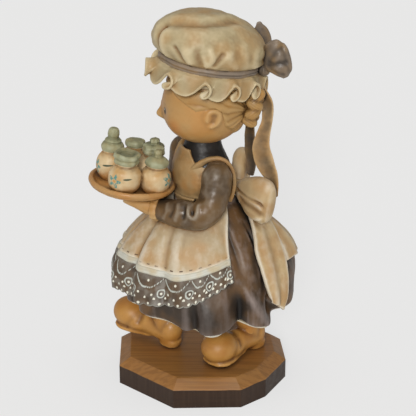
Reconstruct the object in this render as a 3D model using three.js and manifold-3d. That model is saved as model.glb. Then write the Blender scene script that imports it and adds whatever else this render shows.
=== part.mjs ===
// A carved and painted wooden figurine of a child in a puffed bonnet and a laced apron.
// The child stands on a block and carries a tray of five covered jars.
// Units are millimetres. +Z is up, the child looks along -Y, and +X is the child's left side.
// The origin is on the underside of the base, below the middle of the figure.
// Heights of the legs and the skirt are above the base, and those of the body, arms and tray above the waist.
// Heights of the hair and the ribbon tails are above the head's centre. The bonnet has a frame of its own.
import * as THREE from "three";
import { mergeVertices } from "three/addons/utils/BufferGeometryUtils.js";
import Module from "manifold-3d";

const wasm = await Module();
wasm.setup();

const turn = 2 * Math.PI;
const rad = THREE.MathUtils.degToRad;
const { lerp, smoothstep } = THREE.MathUtils;

// Gap left between two pieces that are cut to fit each other
const clearance = 0.3;

// Gap under the sheets that lie over curved pieces
const sheetGap = 0.45;

// Base: a hand-cut block with a chamfered top edge
const baseHeight = 11;
const baseChamferDrop = 3.2;
const baseChamferInset = 4.6;
const baseCorners = [
  [29.7, -10.8],
  [29, 15.2],
  [20.8, 24.9],
  [5, 33.4],
  [-12, 32],
  [-27, 17],
  [-29, -12],
  [-14, -33],
  [10, -32.5],
];

// Dowels that hold the shoes to the base and the head to the body
const dowelRadius = 1.6;
const dowelSides = 14;
const dowelLength = 14;
const dowelSeat = 6.5;
const neckDowelLength = 11;

// Shoes: sections run from the heel to the round toe
const shoeSections = [
  { along: -3.6, width: 5, height: 6 },
  { along: -2.2, width: 8.5, height: 9 },
  { along: 1, width: 9.6, height: 12 },
  { along: 5, width: 9.8, height: 14.5 },
  { along: 10, width: 10.4, height: 12.3 },
  { along: 15, width: 12.6, height: 12 },
  { along: 19.5, width: 14, height: 13 },
  { along: 23.5, width: 13, height: 12 },
  { along: 26.6, width: 9, height: 9 },
  { along: 28, width: 4, height: 4.5 },
];
const seatBite = 1.6;
const leftHeel = { x: -1.5, y: 21.5, heading: -45, pitch: 0 };
const rightHeel = { x: -1, y: -12, heading: -123, pitch: -7 };

// Legs, from inside each shoe up into the petticoat
const legRadius = 4;
const legStep = 4;
const legSeat = 1.5;

// Dress skirt: a bell with carved folds
const waistHeight = 65;
const waistHalfX = 10;
const waistHalfY = 10.6;
const hemHeight = 22.2;
const hemHalfX = 31.6;
const hemHalfY = 36;
const hemBackLift = 6;
const hemFrontLift = 3.4;
const hemFrontTuck = 5;
const hemBackTuck = 1.6;
const tuckStart = 0.62;
const skirtCentreY = 1.4;
const sideBellPower = 1.7;
const frontBellPower = 2.4;
const hemWave = { count: 9, depth: 0.6, power: 1.3, sway: 0.6 };
const bellSides = 72;
const bellDrops = [0, 0.08, 0.2, 0.38, 0.6, 0.75, 0.88, 1];

// Carved folds of the skirt. Each runs from an angle at the waist to one at the hem, in degrees from the near
// side round to the back, and moves the bell in or out by its depth. It fades in between two drops.
const skirtFolds = [
  { top: -34, bottom: -30, depth: -3.4, width: 9, start: 0.6, full: 0.95 },
  { top: 4, bottom: 4, depth: 1, width: 5, start: 0.55, full: 0.95 },
  { top: 20, bottom: 22.5, depth: -5.5, width: 3.6, start: 0.5, full: 0.98 },
  { top: -4, bottom: 43, depth: 1.8, width: 3.6, start: 0.4, full: 0.85 },
  { top: 42, bottom: 50, depth: -7.5, width: 4.6, start: 0.64, full: 0.92 },
  { top: 70, bottom: 68, depth: 1.3, width: 4.6, start: 0.3, full: 0.9 },
  { top: 84, bottom: 86, depth: -2.6, width: 3.4, start: 0.3, full: 0.95 },
  { top: 98, bottom: 99, depth: 1.4, width: 4.4, start: 0.3, full: 0.9 },
  { top: 113, bottom: 114, depth: -3, width: 3.6, start: 0.25, full: 0.95 },
  { top: 130, bottom: 131, depth: 1.5, width: 4.6, start: 0.3, full: 0.9 },
  { top: 146, bottom: 148, depth: -3.2, width: 3.8, start: 0.3, full: 0.95 },
  { top: 163, bottom: 164, depth: 1.3, width: 4.4, start: 0.3, full: 0.9 },
  { top: 180, bottom: 179, depth: -2.8, width: 3.6, start: 0.3, full: 0.95 },
  { top: -164, bottom: -163, depth: 1.2, width: 4.4, start: 0.4, full: 0.9 },
  { top: -147, bottom: -147, depth: -3.2, width: 3.8, start: 0.5, full: 1 },
  { top: -122, bottom: -122, depth: -2.4, width: 4.6, start: 0.6, full: 1 },
  { top: -84, bottom: -84, depth: -2.8, width: 4.6, start: 0.6, full: 1 },
  { top: -60, bottom: -60, depth: -1.8, width: 3.6, start: 0.62, full: 1 },
];
const foldWaistShare = 0.7;
const foldHemRise = 0.32;
const foldRiseStart = 0.5;

// Petticoat: the pale rim below the dress hem
const petticoatInset = 1.7;
const petticoatBelow = 0.9;
const petticoatTop = 0.84;

// Apron skirt, its hem band and its lace, whose side edges lie on the bell's facet lines
const apronFarSide = -30;
const apronNearSide = 4;
const apronTop = 0.03;
const apronThickness = 1.3;
const apronPleats = 5;
const apronPleatDepth = 0.5;
const bandDrop = 0.5;
const bandRise = 0.13;
const bandWidth = 0.05;
const bandThickness = 1.7;
const bandGap = 0.008;
const laceDrop = 0.25;
const laceThickness = 1.1;
const laceFlare = 1.2;
const laceEdgeShare = 0.5;

// Waistband of the apron
const waistbandHeight = 3;
const waistbandThickness = 1.2;

// Body: rings of half width, half depth and height, turned a little towards the near side
const bodyTurn = 25;
const bodyCentreY = 0.6;
const bodyRings = [
  { height: 0.3, halfWidth: 9.6, halfDepth: 9.2 },
  { height: 4, halfWidth: 10.4, halfDepth: 9.8 },
  { height: 9, halfWidth: 11.6, halfDepth: 10.4 },
  { height: 14, halfWidth: 11.2, halfDepth: 10 },
];
const yokeRings = [
  { height: 14.3, halfWidth: 11, halfDepth: 9.8 },
  { height: 18, halfWidth: 9.6, halfDepth: 8.4 },
  { height: 21, halfWidth: 7.4, halfDepth: 7 },
  { height: 25, halfWidth: 6.2, halfDepth: 6.2 },
];
const bibBottom = 4;
const bibTop = 19;
const bibSpread = 46;
const bibThickness = 1.2;

// Arms: centre points and radii from the shoulder to the wrist
const leftArm = [
  { at: [12.4, 6, 18], radius: 3 },
  { at: [14, 6.2, 15], radius: 5.1 },
  { at: [15.8, 5.5, 9], radius: 5.4 },
  { at: [17.6, 3.5, 3.4], radius: 5.6 },
  { at: [17.8, -0.5, 0], radius: 5.8 },
  { at: [16, -5.5, -0.8], radius: 5.4 },
  { at: [13, -10.5, -1.2], radius: 5 },
  { at: [10.2, -14.6, -1.2], radius: 4.4 },
];
const rightArm = [
  { at: [-12.4, -6.5, 18], radius: 3 },
  { at: [-14, -7, 15], radius: 5.1 },
  { at: [-15.4, -7.4, 9], radius: 5.3 },
  { at: [-15.6, -8.4, 3.4], radius: 5.5 },
  { at: [-13.8, -10.8, -0.2], radius: 5.5 },
  { at: [-11.2, -13.2, -1.2], radius: 5.1 },
  { at: [-8.6, -15.4, -1.2], radius: 4.6 },
  { at: [-6.6, -17, -1], radius: 4.2 },
];
const strapRadius = 6.4;
const strapThickness = 1;
const strapDepth = 3;
const strapDrop = 1;
const strapEnds = [-25, 205];

// Cuffs and hands under the tray
const cuffRadius = 4.9;
const cuffLength = 3.2;
const leftCuff = { at: [8.8, -16.8, -1.2], heading: -112 };
const rightCuff = { at: [-4.4, -18.8, -0.8], heading: -46 };
const handSections = [
  { reach: 0, width: 8, depth: 7 },
  { reach: 3, width: 9.4, depth: 7.6 },
  { reach: 7.5, width: 9.6, depth: 6.6 },
  { reach: 11.5, width: 8.6, depth: 4.6 },
  { reach: 13.5, width: 6, depth: 2.6 },
];
const handRise = 3.9;

// Tray: a round dish, tilted up a little at the front
const trayRadius = 16.6;
const trayDepth = 3;
const trayFloorRadius = 13.6;
const trayRimWidth = 1.3;
const trayRimHeight = 1.5;
const trayCentre = [4, -26.2, 7.6];
const trayTilt = -6;

// Five jars: place on the tray, belly radius, height and the kind of cover
const jars = [
  { at: [-3.2, -8.6], belly: 5.8, height: 11, cover: "stepped", coverHeight: 8.4 },
  { at: [9.4, -2.6], belly: 6.2, height: 11, cover: "open", coverHeight: 4 },
  { at: [7.2, 8.6], belly: 5.8, height: 10.4, cover: "cone", coverHeight: 6 },
  { at: [-2.6, 7], belly: 5.6, height: 11.4, cover: "cloth", coverHeight: 5.6 },
  { at: [-9.4, -0.4], belly: 4.8, height: 11, cover: "disc", coverHeight: 2.2 },
];
const jarFootShare = 0.66;
const jarNeckShare = 0.64;
const coverOverhang = 0.7;

// Head with its nose and ears
const headSides = 22;
const headCentre = [0, 1.2, 38.2];
const headHalf = [15.2, 16.2, 15.6];
const cheekSwell = 0.9;
const noseHalf = [1.8, 1.8, 1.6];
const noseDrop = 5;
const noseSeat = 0.4;
const earHalf = [1.5, 2.6, 3.3];
const earDepthAngle = 9;
const earDrop = 1.5;

// Hair over the skull and the plaited knot behind it
const hairGap = 0.8;
const hairThickness = 0.8;
const partingAngle = 56;
const hairlineFront = 62;
const hairlineBack = 138;
const plait = [
  { at: [6, 15.4, 4.8], radius: 2.6 },
  { at: [6.6, 17.8, 1.8], radius: 3.3 },
  { at: [7, 18.8, -2.2], radius: 3.5 },
  { at: [6.6, 18.4, -6.2], radius: 3.3 },
  { at: [6, 16.4, -9.6], radius: 2.2 },
];

// Bonnet: rings of the crown, the ribbon band and the frill, in the bonnet's own tilted frame
const bonnetCentre = [0, 1.8, 16.3];
const bonnetTilt = -8.5;
const bonnetSideShare = 0.93;
const coreRadius = 16.6;
const coreBottom = -7.5;
const coreBottomRadius = 14.6;
const crownRings = [
  { height: 1.8, radius: 19.2 },
  { height: 3.6, radius: 21.3 },
  { height: 5.6, radius: 21.9 },
  { height: 7.5, radius: 22 },
  { height: 9.4, radius: 21.4 },
  { height: 11, radius: 20.4 },
  { height: 12.7, radius: 18.8 },
  { height: 14.2, radius: 16.8 },
  { height: 15.4, radius: 14.4 },
  { height: 16.4, radius: 11.6 },
  { height: 17.2, radius: 8.4 },
  { height: 17.7, radius: 5.4 },
];
const crownTop = 18.1;
const crownLean = -1.4;
const crownBackEase = 1.6;
const crownSides = 48;
const crownWaves = [
  { count: 5, depth: 0.35, phase: 0.7 },
  { count: 3, depth: 0.3, phase: 2.2 },
];

// Creases of the crown, with a depth below zero, and the puffs beside them
const crownFolds = [
  {
    depth: -1.4,
    width: 2.8,
    along: [[7, -18.8, 12.3], [9.4, -13.3, 14.5], [11.2, -5.4, 16.1], [9, 1.5, 16.9], [4, 6.5, 17.6]],
  },
  { depth: -1.4, width: 2.6, along: [[7, -18.8, 12.3], [9, -19.8, 8.3], [9.8, -20, 5.2], [11.6, -18.5, 1.8]] },
  {
    depth: 0.9,
    width: 4,
    along: [[11.6, -18.8, 10.1], [14, -13.3, 12.3], [15.8, -5.4, 13.9], [13.6, 1.5, 14.7], [8.6, 6.5, 15.4]],
  },
  { depth: 0.7, width: 4, along: [[4.8, -13.3, 15.1], [6.6, -5.4, 16.7], [4.4, 1.5, 17.5], [-0.6, 6.5, 18.2]] },
  { depth: -1.2, width: 2.8, along: [[-6, -18.7, 12.9], [-12, -11.2, 14], [-12.6, -1.2, 15], [-8, 6.8, 15.7]] },
];
const crownMiddle = [0, 0, 4];
const ribbonHeight = 2.8;
const ribbonThickness = 2.6;
const frillCrests = [-2.9, 26.5, 53.6, 84, 120, 158, 196, 236, 275, 317.3];
const frillWaveRise = 3;
const frillWaveDepth = 0.7;
const frillWaveSides = 8;
const frillThickness = 1.2;
const frillRings = [
  { height: -1.8, radius: 18.5 },
  { height: -3.4, radius: 20.3 },
  { height: -4.8, radius: 21.1 },
  { height: -6.2, radius: 21.8 },
];

// Bow and ribbon tails at the back of the bonnet
const bonnetKnot = { at: [5, 20.4, -2.9], radius: 3 };
const bonnetLoopLeft = [
  { at: [5.6, 21, -1.9], width: 3.4, depth: 3 },
  { at: [6.4, 22.8, 0.9], width: 8.4, depth: 4.6 },
  { at: [7, 24.6, 3.5], width: 12.4, depth: 5.4 },
  { at: [7.4, 26.2, 4.9], width: 10.5, depth: 4.4 },
  { at: [7.6, 27.2, 5.5], width: 5, depth: 2 },
];
const bonnetLoopRight = [
  { at: [3.6, 20.6, -1.5], width: 3, depth: 2.6 },
  { at: [1, 20.6, 3.5], width: 5.4, depth: 3.6 },
  { at: [-2, 19.8, 8.1], width: 7, depth: 4 },
  { at: [-4, 19, 11.5], width: 5.6, depth: 3 },
  { at: [-4.6, 18.6, 13.1], width: 2.4, depth: 1.4 },
];
const tailLeft = [
  { at: [2.4, 18.2, 8.8], width: 4.4, depth: 1.6 },
  { at: [2.4, 22, -0.2], width: 4.6, depth: 1.5 },
  { at: [2.6, 23, -8.2], width: 4.8, depth: 1.5 },
  { at: [3, 21.6, -16.2], width: 4.8, depth: 1.5 },
  { at: [4, 23.2, -23.2], width: 5, depth: 1.5 },
  { at: [5.4, 25.8, -29.6], width: 5, depth: 1.5 },
  { at: [6.6, 26.8, -35.6], width: 3.4, depth: 1.2 },
];
const tailRight = [
  { at: [-4, 15.4, -2.2], width: 3.2, depth: 1.5 },
  { at: [-5, 17, -10.2], width: 3.4, depth: 1.5 },
  { at: [-6, 16.4, -17.2], width: 3.6, depth: 1.5 },
  { at: [-6.6, 17.8, -24.2], width: 3.6, depth: 1.5 },
  { at: [-6, 17.2, -31.2], width: 3, depth: 1.2 },
];

// Bow at the back of the apron
const apronKnot = { at: [-2.6, 13.4, 3], radius: 3 };
const apronLoopLeft = [
  { at: [-0.6, 14, 3], width: 5, depth: 4 },
  { at: [4.4, 17.4, 3.2], width: 13, depth: 7.4 },
  { at: [8.6, 20.8, 2.8], width: 18.4, depth: 9 },
  { at: [12, 24, 2.4], width: 17, depth: 8 },
  { at: [13.8, 26, 2], width: 9, depth: 4 },
];
const apronLoopRight = [
  { at: [-4.6, 13.6, 4], width: 5, depth: 4 },
  { at: [-8.6, 14.6, 6], width: 11, depth: 6.4 },
  { at: [-12.6, 15.6, 7.6], width: 15, depth: 7.6 },
  { at: [-15.8, 16.4, 8.6], width: 13, depth: 6.4 },
  { at: [-17.6, 16.8, 9], width: 6, depth: 3 },
];
const apronTailLeft = [
  { angle: 92, drop: 0.01, outward: 1.6, width: 6 },
  { angle: 72, drop: 0.16, outward: 1.9, width: 12 },
  { angle: 57, drop: 0.34, outward: 2.2, width: 14.5 },
  { angle: 51, drop: 0.5, outward: 2.4, width: 13.4 },
  { angle: 48, drop: 0.66, outward: 2.5, width: 11.4 },
  { angle: 49.5, drop: 0.8, outward: 2.8, width: 9.4 },
];
const apronTailRight = [
  { angle: 110, drop: 0.01, outward: 1.6, width: 6 },
  { angle: 92, drop: 0.18, outward: 2, width: 12 },
  { angle: 86, drop: 0.36, outward: 1.9, width: 17 },
  { angle: 83, drop: 0.5, outward: 1.7, width: 18 },
  { angle: 81, drop: 0.6, outward: 1.8, width: 17 },
];
const apronTailThickness = 2;

// Stains and paints
const paint = (color, roughness = 0.5) => new THREE.MeshStandardMaterial({ color, roughness, metalness: 0 });
const stains = {
  base: paint(0x7a5230, 0.45),
  shoe: paint(0xb98242, 0.4),
  dress: paint(0x5c4a3a, 0.45),
  petticoat: paint(0xb8ab8c),
  apron: paint(0xc8b28c, 0.5),
  lace: paint(0x7d7364),
  pinafore: paint(0xa98a5c),
  skin: paint(0xc09a62, 0.4),
  hair: paint(0xae8a52, 0.45),
  bonnet: paint(0xc9b68e),
  ribbon: paint(0x857462, 0.45),
  tray: paint(0xb58a55, 0.4),
  jar: paint(0xd0b88c, 0.45),
  cover: paint(0x98957a, 0.5),
  dowel: paint(0xcbb184, 0.7),
};

// Closed geometry from rings of points, each ring with the same count, capped with a fan at both ends
function loft(rings) {
  const sides = rings[0].length;
  const points = rings.flat();
  const faces = [];
  for (let j = 0; j + 1 < rings.length; j++) {
    for (let i = 0; i < sides; i++) {
      const a = j * sides + i;
      const b = j * sides + ((i + 1) % sides);
      faces.push(a, b, b + sides, a, b + sides, a + sides);
    }
  }
  const middle = (ring) => ring.reduce((sum, p) => sum.add(p), new THREE.Vector3()).divideScalar(sides);
  const first = points.push(middle(rings[0])) - 1;
  const last = points.push(middle(rings.at(-1))) - 1;
  const end = (rings.length - 1) * sides;
  for (let i = 0; i < sides; i++) {
    faces.push(first, (i + 1) % sides, i);
    faces.push(last, end + i, end + ((i + 1) % sides));
  }
  return new THREE.BufferGeometry().setFromPoints(points).setIndex(faces);
}

// Closed geometry of a sheet with thickness: outer and inner give the two faces over columns and rows
function slab(columns, rows, outer, inner, closed) {
  const wide = closed ? columns : columns + 1;
  const points = [];
  for (const side of [outer, inner]) {
    for (let j = 0; j <= rows; j++) {
      for (let i = 0; i < wide; i++) points.push(side(i / columns, j / rows));
    }
  }
  const at = (face, i, j) => face * wide * (rows + 1) + j * wide + (i % wide);
  const faces = [];
  const quad = (a, b, c, d) => faces.push(a, b, c, a, c, d);
  for (let j = 0; j < rows; j++) {
    for (let i = 0; i < columns; i++) {
      quad(at(0, i, j), at(0, i, j + 1), at(0, i + 1, j + 1), at(0, i + 1, j));
      quad(at(1, i, j), at(1, i + 1, j), at(1, i + 1, j + 1), at(1, i, j + 1));
    }
  }
  for (let i = 0; i < columns; i++) {
    quad(at(0, i, 0), at(0, i + 1, 0), at(1, i + 1, 0), at(1, i, 0));
    quad(at(0, i, rows), at(1, i, rows), at(1, i + 1, rows), at(0, i + 1, rows));
  }
  for (let j = 0; j < rows && !closed; j++) {
    quad(at(0, 0, j), at(1, 0, j), at(1, 0, j + 1), at(0, 0, j + 1));
    quad(at(0, columns, j), at(0, columns, j + 1), at(1, columns, j + 1), at(1, columns, j));
  }
  return new THREE.BufferGeometry().setFromPoints(points).setIndex(faces);
}

// Rounded solid swept through sections, wide along the across direction and deep at right angles to it
function sweep(sections, across, sides, steps) {
  const curve = new THREE.CatmullRomCurve3(sections.map((s) => new THREE.Vector3(...s.at)));
  const sizes = new THREE.CatmullRomCurve3(
    sections.map((s) => new THREE.Vector3(s.width ?? 2 * s.radius, s.depth ?? 2 * s.radius, 0)),
  );
  const rings = [];
  for (let j = 0; j <= steps; j++) {
    const middle = curve.getPoint(j / steps);
    const along = curve.getTangent(j / steps);
    const size = sizes.getPoint(j / steps);
    const wide = new THREE.Vector3(...across).projectOnPlane(along).normalize();
    const deep = new THREE.Vector3().crossVectors(along, wide);
    rings.push(
      Array.from({ length: sides }, (_, i) => {
        const angle = (turn * i) / sides;
        return middle
          .clone()
          .addScaledVector(wide, (size.x / 2) * Math.cos(angle))
          .addScaledVector(deep, (size.y / 2) * Math.sin(angle));
      }),
    );
  }
  return loft(rings);
}

// Solid of revolution about Z from pairs of radius and height
function turned(profile, sides) {
  const points = profile.map(([radius, height]) => new THREE.Vector2(radius, height));
  return new THREE.LatheGeometry(points, sides).rotateX(Math.PI / 2);
}

// Manifold solid of a closed geometry, with its faces pointing out
function solidOf(geometry) {
  const bare = new THREE.BufferGeometry().setAttribute("position", geometry.getAttribute("position"));
  if (geometry.index) bare.setIndex(geometry.index);
  const merged = mergeVertices(bare, 1e-4);
  const vertProperties = new Float32Array(merged.getAttribute("position").array);
  const triVerts = new Uint32Array(merged.index.array);
  const made = new wasm.Manifold(new wasm.Mesh({ numProp: 3, vertProperties, triVerts }));
  if (made.volume() > 0) return made;
  triVerts.reverse();
  return new wasm.Manifold(new wasm.Mesh({ numProp: 3, vertProperties, triVerts }));
}

function geometryOf(solid) {
  const { vertProperties, triVerts } = solid.getMesh();
  return new THREE.BufferGeometry()
    .setAttribute("position", new THREE.BufferAttribute(vertProperties, 3))
    .setIndex(new THREE.BufferAttribute(triVerts, 1));
}

// The solid with every face moved out by a distance, as the cutter that leaves that gap
function grown(solid, distance) {
  const geometry = geometryOf(solid);
  const place = geometry.getAttribute("position");
  const index = geometry.index.array;
  const corner = (i) => new THREE.Vector3().fromBufferAttribute(place, i);
  const normals = Array.from({ length: place.count }, () => []);
  for (let i = 0; i < index.length; i += 3) {
    const [a, b, c] = [index[i], index[i + 1], index[i + 2]];
    const normal = corner(b).sub(corner(a)).cross(corner(c).sub(corner(a)));
    for (const v of [a, b, c]) normals[v].push(normal);
  }
  const sharpest = 0.45;
  for (let v = 0; v < place.count; v++) {
    const sum = normals[v].reduce((total, n) => total.add(n), new THREE.Vector3()).normalize();
    const least = Math.min(...normals[v].map((n) => sum.dot(n.clone().normalize())));
    const moved = corner(v).addScaledVector(sum, distance / Math.max(sharpest, least));
    place.setXYZ(v, moved.x, moved.y, moved.z);
  }
  return solidOf(geometry);
}

const placed = [];

// Adds one named piece to its group, cut to clear every piece placed before it that it runs into
function add(group, name, material, geometry, position = [0, 0, 0], rotation = [0, 0, 0]) {
  const mesh = new THREE.Mesh(geometry, material);
  mesh.name = name;
  mesh.position.set(...position);
  mesh.rotation.set(...rotation);
  group.add(mesh);
  mesh.updateWorldMatrix(true, false);
  const touching = 1e-3;
  let solid = solidOf(geometry.clone().applyMatrix4(mesh.matrixWorld));
  for (const other of placed) {
    if (solid.intersect(other).volume() < touching) continue;
    solid = solid.subtract(other.add(grown(other, clearance)));
  }
  solid = solid.decompose().sort((a, b) => b.volume() - a.volume())[0];
  mesh.geometry = geometryOf(solid).applyMatrix4(mesh.matrixWorld.clone().invert());
  placed.push(solid);
  return mesh;
}

// Base and its dowels
function addBase(group) {
  const dowel = turned([[0, 0], [dowelRadius, 0], [dowelRadius, dowelLength], [0, dowelLength]], dowelSides);
  add(group, "base_dowel_left", stains.dowel, dowel, [leftHeel.x, leftHeel.y, -dowelSeat]);
  add(group, "base_dowel_right", stains.dowel, dowel, [rightHeel.x, rightHeel.y, -dowelSeat]);
  const ring = (height, inset) =>
    baseCorners.map(([x, y]) => {
      const share = 1 - inset / Math.hypot(x, y);
      return new THREE.Vector3(x * share, y * share, height);
    });
  const rings = [ring(-baseHeight, 0), ring(-baseChamferDrop, 0), ring(0, baseChamferInset)];
  add(group, "base", stains.base, loft(rings));
}

// One shoe, seated on the base with its heel at the given place
function addShoe(group, name, heel) {
  const sections = shoeSections.map(({ along, width, height }) => ({
    at: [along, 0, height / 2 - seatBite],
    width,
    depth: height,
  }));
  const shoe = sweep(sections, [0, 1, 0], 12, 11);
  add(group, name, stains.shoe, shoe, [heel.x, heel.y, 0], [0, rad(heel.pitch), rad(heel.heading), "ZYX"]);
}

function addLeg(group, name, heel) {
  const ankle = shoeSections[3];
  const lean = rad(heel.heading);
  const foot = new THREE.Vector3(
    heel.x + ankle.along * Math.cos(lean),
    heel.y + ankle.along * Math.sin(lean),
    ankle.height / 2,
  );
  const legTop = lerp(waistHeight, hemHeight, petticoatTop) - legSeat;
  const hip = [foot.x, foot.y + Math.sign(skirtCentreY - foot.y) * legStep, legTop];
  const sections = [
    { at: foot.toArray(), radius: legRadius },
    { at: hip, radius: legRadius },
  ];
  add(group, name, stains.shoe, sweep(sections, [1, 0, 0], 12, 2));
}

// Distance that the folds move the bell outward at an angle and a drop, where it has the given radius
function foldReach(angle, drop, radius) {
  return skirtFolds.reduce((sum, { top, bottom, depth, width, start, full }) => {
    const past = angle - rad(lerp(top, bottom, drop));
    const away = THREE.MathUtils.euclideanModulo(past + turn / 2, turn) - turn / 2;
    const share = (away * radius) / (width * lerp(foldWaistShare, 1, drop));
    return sum + depth * smoothstep(drop, start, full) * Math.exp(-(share ** 2));
  }, 0);
}

// Point on the bell of the skirt: drop runs from 0 at the waist to 1 at the hem
function skirtPoint(angle, drop, outward = 0) {
  const flare = (power) => 1 - (1 - drop) ** power;
  const halfX = lerp(waistHalfX, hemHalfX, flare(sideBellPower));
  const halfY = lerp(waistHalfY, hemHalfY, flare(frontBellPower));
  const fold = foldReach(angle, drop, Math.hypot(halfX * Math.cos(angle), halfY * Math.sin(angle)));
  const swing = Math.cos(hemWave.count * angle + hemWave.sway * Math.sin(2 * angle + 1));
  const wave = hemWave.depth * drop ** hemWave.power * swing;
  const front = Math.max(0, -Math.sin(angle)) ** 2;
  const back = Math.max(0, Math.sin(angle)) ** 2;
  const tuck = (hemFrontTuck * front + hemBackTuck * back) * smoothstep(drop, tuckStart, 1);
  const rise = foldHemRise * fold * smoothstep(drop, foldRiseStart, 1);
  const low = hemHeight + hemFrontLift * front + hemBackLift * back - rise;
  const reach = fold + wave + outward - tuck;
  return new THREE.Vector3(
    (halfX + reach) * Math.cos(angle),
    skirtCentreY + (halfY + reach) * Math.sin(angle),
    lerp(waistHeight, low, drop),
  );
}

// Point on the bell as it is built, in flat facets between its rings, moved outward
function onSkirt(angle, drop, outward) {
  const step = turn / bellSides;
  const before = Math.floor(angle / step);
  const row = Math.max(0, Math.min(bellDrops.length - 2, bellDrops.findIndex((d) => d > drop) - 1));
  const across = angle / step - before;
  const down = (drop - bellDrops[row]) / (bellDrops[row + 1] - bellDrops[row]);
  const corner = (i, rowAt) => skirtPoint(i * step, bellDrops[rowAt]);
  const edge = (i) => corner(i, row).lerp(corner(i, row + 1), down);
  const point = edge(before).lerp(edge(before + 1), across);
  return point.add(new THREE.Vector3(outward * Math.cos(angle), outward * Math.sin(angle), 0));
}

function bellRings(drops, outward, below = 0) {
  return drops.map((drop) =>
    Array.from({ length: bellSides }, (_, i) => {
      const point = skirtPoint((turn * i) / bellSides, drop, outward);
      point.z -= drop === 1 ? below : 0;
      return point;
    }),
  );
}

function addSkirt(group) {
  const drops = [petticoatTop, (petticoatTop + 1) / 2, 1];
  add(group, "petticoat", stains.petticoat, loft(bellRings(drops, -petticoatInset, petticoatBelow)));
  add(group, "dress_skirt", stains.dress, loft(bellRings(bellDrops, 0)));
}

const apronColumns = apronNearSide - apronFarSide;

// Drop of the apron's hem line, which rises towards both side edges
function apronHem(share) {
  const edge = Math.abs(2 * share - 1);
  return bandDrop - bandRise * smoothstep(edge, 0.55, 1);
}

// Width of the lace, which narrows towards both side edges
function laceWidth(share) {
  const edge = Math.abs(2 * share - 1);
  return laceDrop * lerp(1, laceEdgeShare, smoothstep(edge, 0.6, 1));
}

// Strip of the apron between two drops at each angle, lying on the skirt
function apronStrip(rows, from, to, thickness) {
  const angle = (share) => (turn / bellSides) * lerp(apronFarSide, apronNearSide, share);
  const drop = (share, down) => lerp(from(share), to(share), down);
  const inner = (share, down) => onSkirt(angle(share), drop(share, down), sheetGap);
  const outer = (share, down) => onSkirt(angle(share), drop(share, down), sheetGap + thickness(share, down));
  return slab(apronColumns, rows, outer, inner, false);
}

function addApron(group) {
  const pleat = (share) => apronPleatDepth * Math.cos(turn * apronPleats * share);
  const bandTop = (share) => apronHem(share) + bandGap;
  const bandEnd = (share) => apronHem(share) + bandWidth;
  const laceTop = (share) => bandEnd(share) + bandGap;
  const laceEnd = (share) => bandEnd(share) + laceWidth(share);
  const clothThickness = (share, down) => apronThickness + pleat(share) * down;
  const laceDepth = (share, down) => laceThickness + (laceFlare + pleat(share)) * down;
  const cloth = apronStrip(5, () => apronTop, apronHem, clothThickness);
  const band = apronStrip(1, bandTop, bandEnd, () => bandThickness);
  const lace = apronStrip(3, laceTop, laceEnd, laceDepth);
  add(group, "apron_skirt", stains.apron, cloth);
  add(group, "apron_hem_band", stains.petticoat, band);
  add(group, "apron_lace", stains.lace, lace);
}

// Ring of the turned body at a height
function bodyPoint(ring, angle, outward = 0) {
  const along = rad(bodyTurn);
  const x = (ring.halfWidth + outward) * Math.cos(angle);
  const y = (ring.halfDepth + outward) * Math.sin(angle);
  return new THREE.Vector3(
    x * Math.cos(along) - y * Math.sin(along),
    bodyCentreY + x * Math.sin(along) + y * Math.cos(along),
    ring.height,
  );
}

const bodySides = 22;
const bodyRing = (ring, outward) =>
  Array.from({ length: bodySides }, (_, i) => bodyPoint(ring, (turn * i) / bodySides, outward));

// Point of the body or the yoke at a height between their listed rings
function chestPoint(angle, height, outward) {
  const rings = [...bodyRings, ...yokeRings];
  const after = Math.max(1, rings.findIndex((ring) => ring.height >= height));
  const [low, high] = [rings[after - 1], rings[after]];
  const share = (height - low.height) / (high.height - low.height);
  const halfWidth = lerp(low.halfWidth, high.halfWidth, share);
  const halfDepth = lerp(low.halfDepth, high.halfDepth, share);
  return bodyPoint({ height, halfWidth, halfDepth }, angle, outward);
}

// Yoke, bodice, bib and waistband of the body
function addBody(torso) {
  add(torso, "dress_yoke", stains.dress, loft(yokeRings.map((ring) => bodyRing(ring, 0))));
  add(torso, "pinafore_bodice", stains.pinafore, loft(bodyRings.map((ring) => bodyRing(ring, 0))));
  const bibAngle = (share) => rad(lerp(-bibSpread, bibSpread, share) - 90);
  const bib = (outward) => (share, up) => chestPoint(bibAngle(share), lerp(bibBottom, bibTop, up), outward);
  const panel = slab(8, 5, bib(clearance + bibThickness), bib(clearance), false);
  add(torso, "pinafore_bib", stains.pinafore, panel);
  const low = bodyRings[0].height;
  const waist = (outward) => (share, up) => chestPoint(turn * share, low + waistbandHeight * up, outward);
  const band = slab(bodySides, 1, waist(clearance + waistbandThickness), waist(clearance), true);
  add(torso, "apron_waistband", stains.apron, band);
}

function addNeckDowel(torso) {
  const profile = [[0, 0], [dowelRadius, 0], [dowelRadius, neckDowelLength], [0, neckDowelLength]];
  const low = headCentre[2] - headHalf[2] - neckDowelLength / 2;
  add(torso, "neck_dowel", stains.dowel, turned(profile, dowelSides), [headCentre[0], headCentre[1], low]);
}

function addSleeve(group, name, arm) {
  add(group, name, stains.dress, sweep(arm, [1, 0, 0], 12, 11));
}

// Strap of the pinafore: a half ring round the top of the sleeve
function addStrap(group, name, arm, side) {
  const [x, y, z] = arm[1].at;
  const [start, end] = strapEnds.map(rad);
  const ring = (outward) => (share, inwards) => {
    const angle = lerp(start, end, share);
    const radius = strapRadius + outward;
    return new THREE.Vector3(
      x + side * (lerp(strapDepth / 2, -strapDepth / 2, inwards) - strapDepth),
      y + radius * Math.cos(angle),
      z - strapDrop + radius * Math.sin(angle),
    );
  };
  add(group, name, stains.pinafore, slab(12, 1, ring(strapThickness), ring(-strapThickness), false));
}

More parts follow.
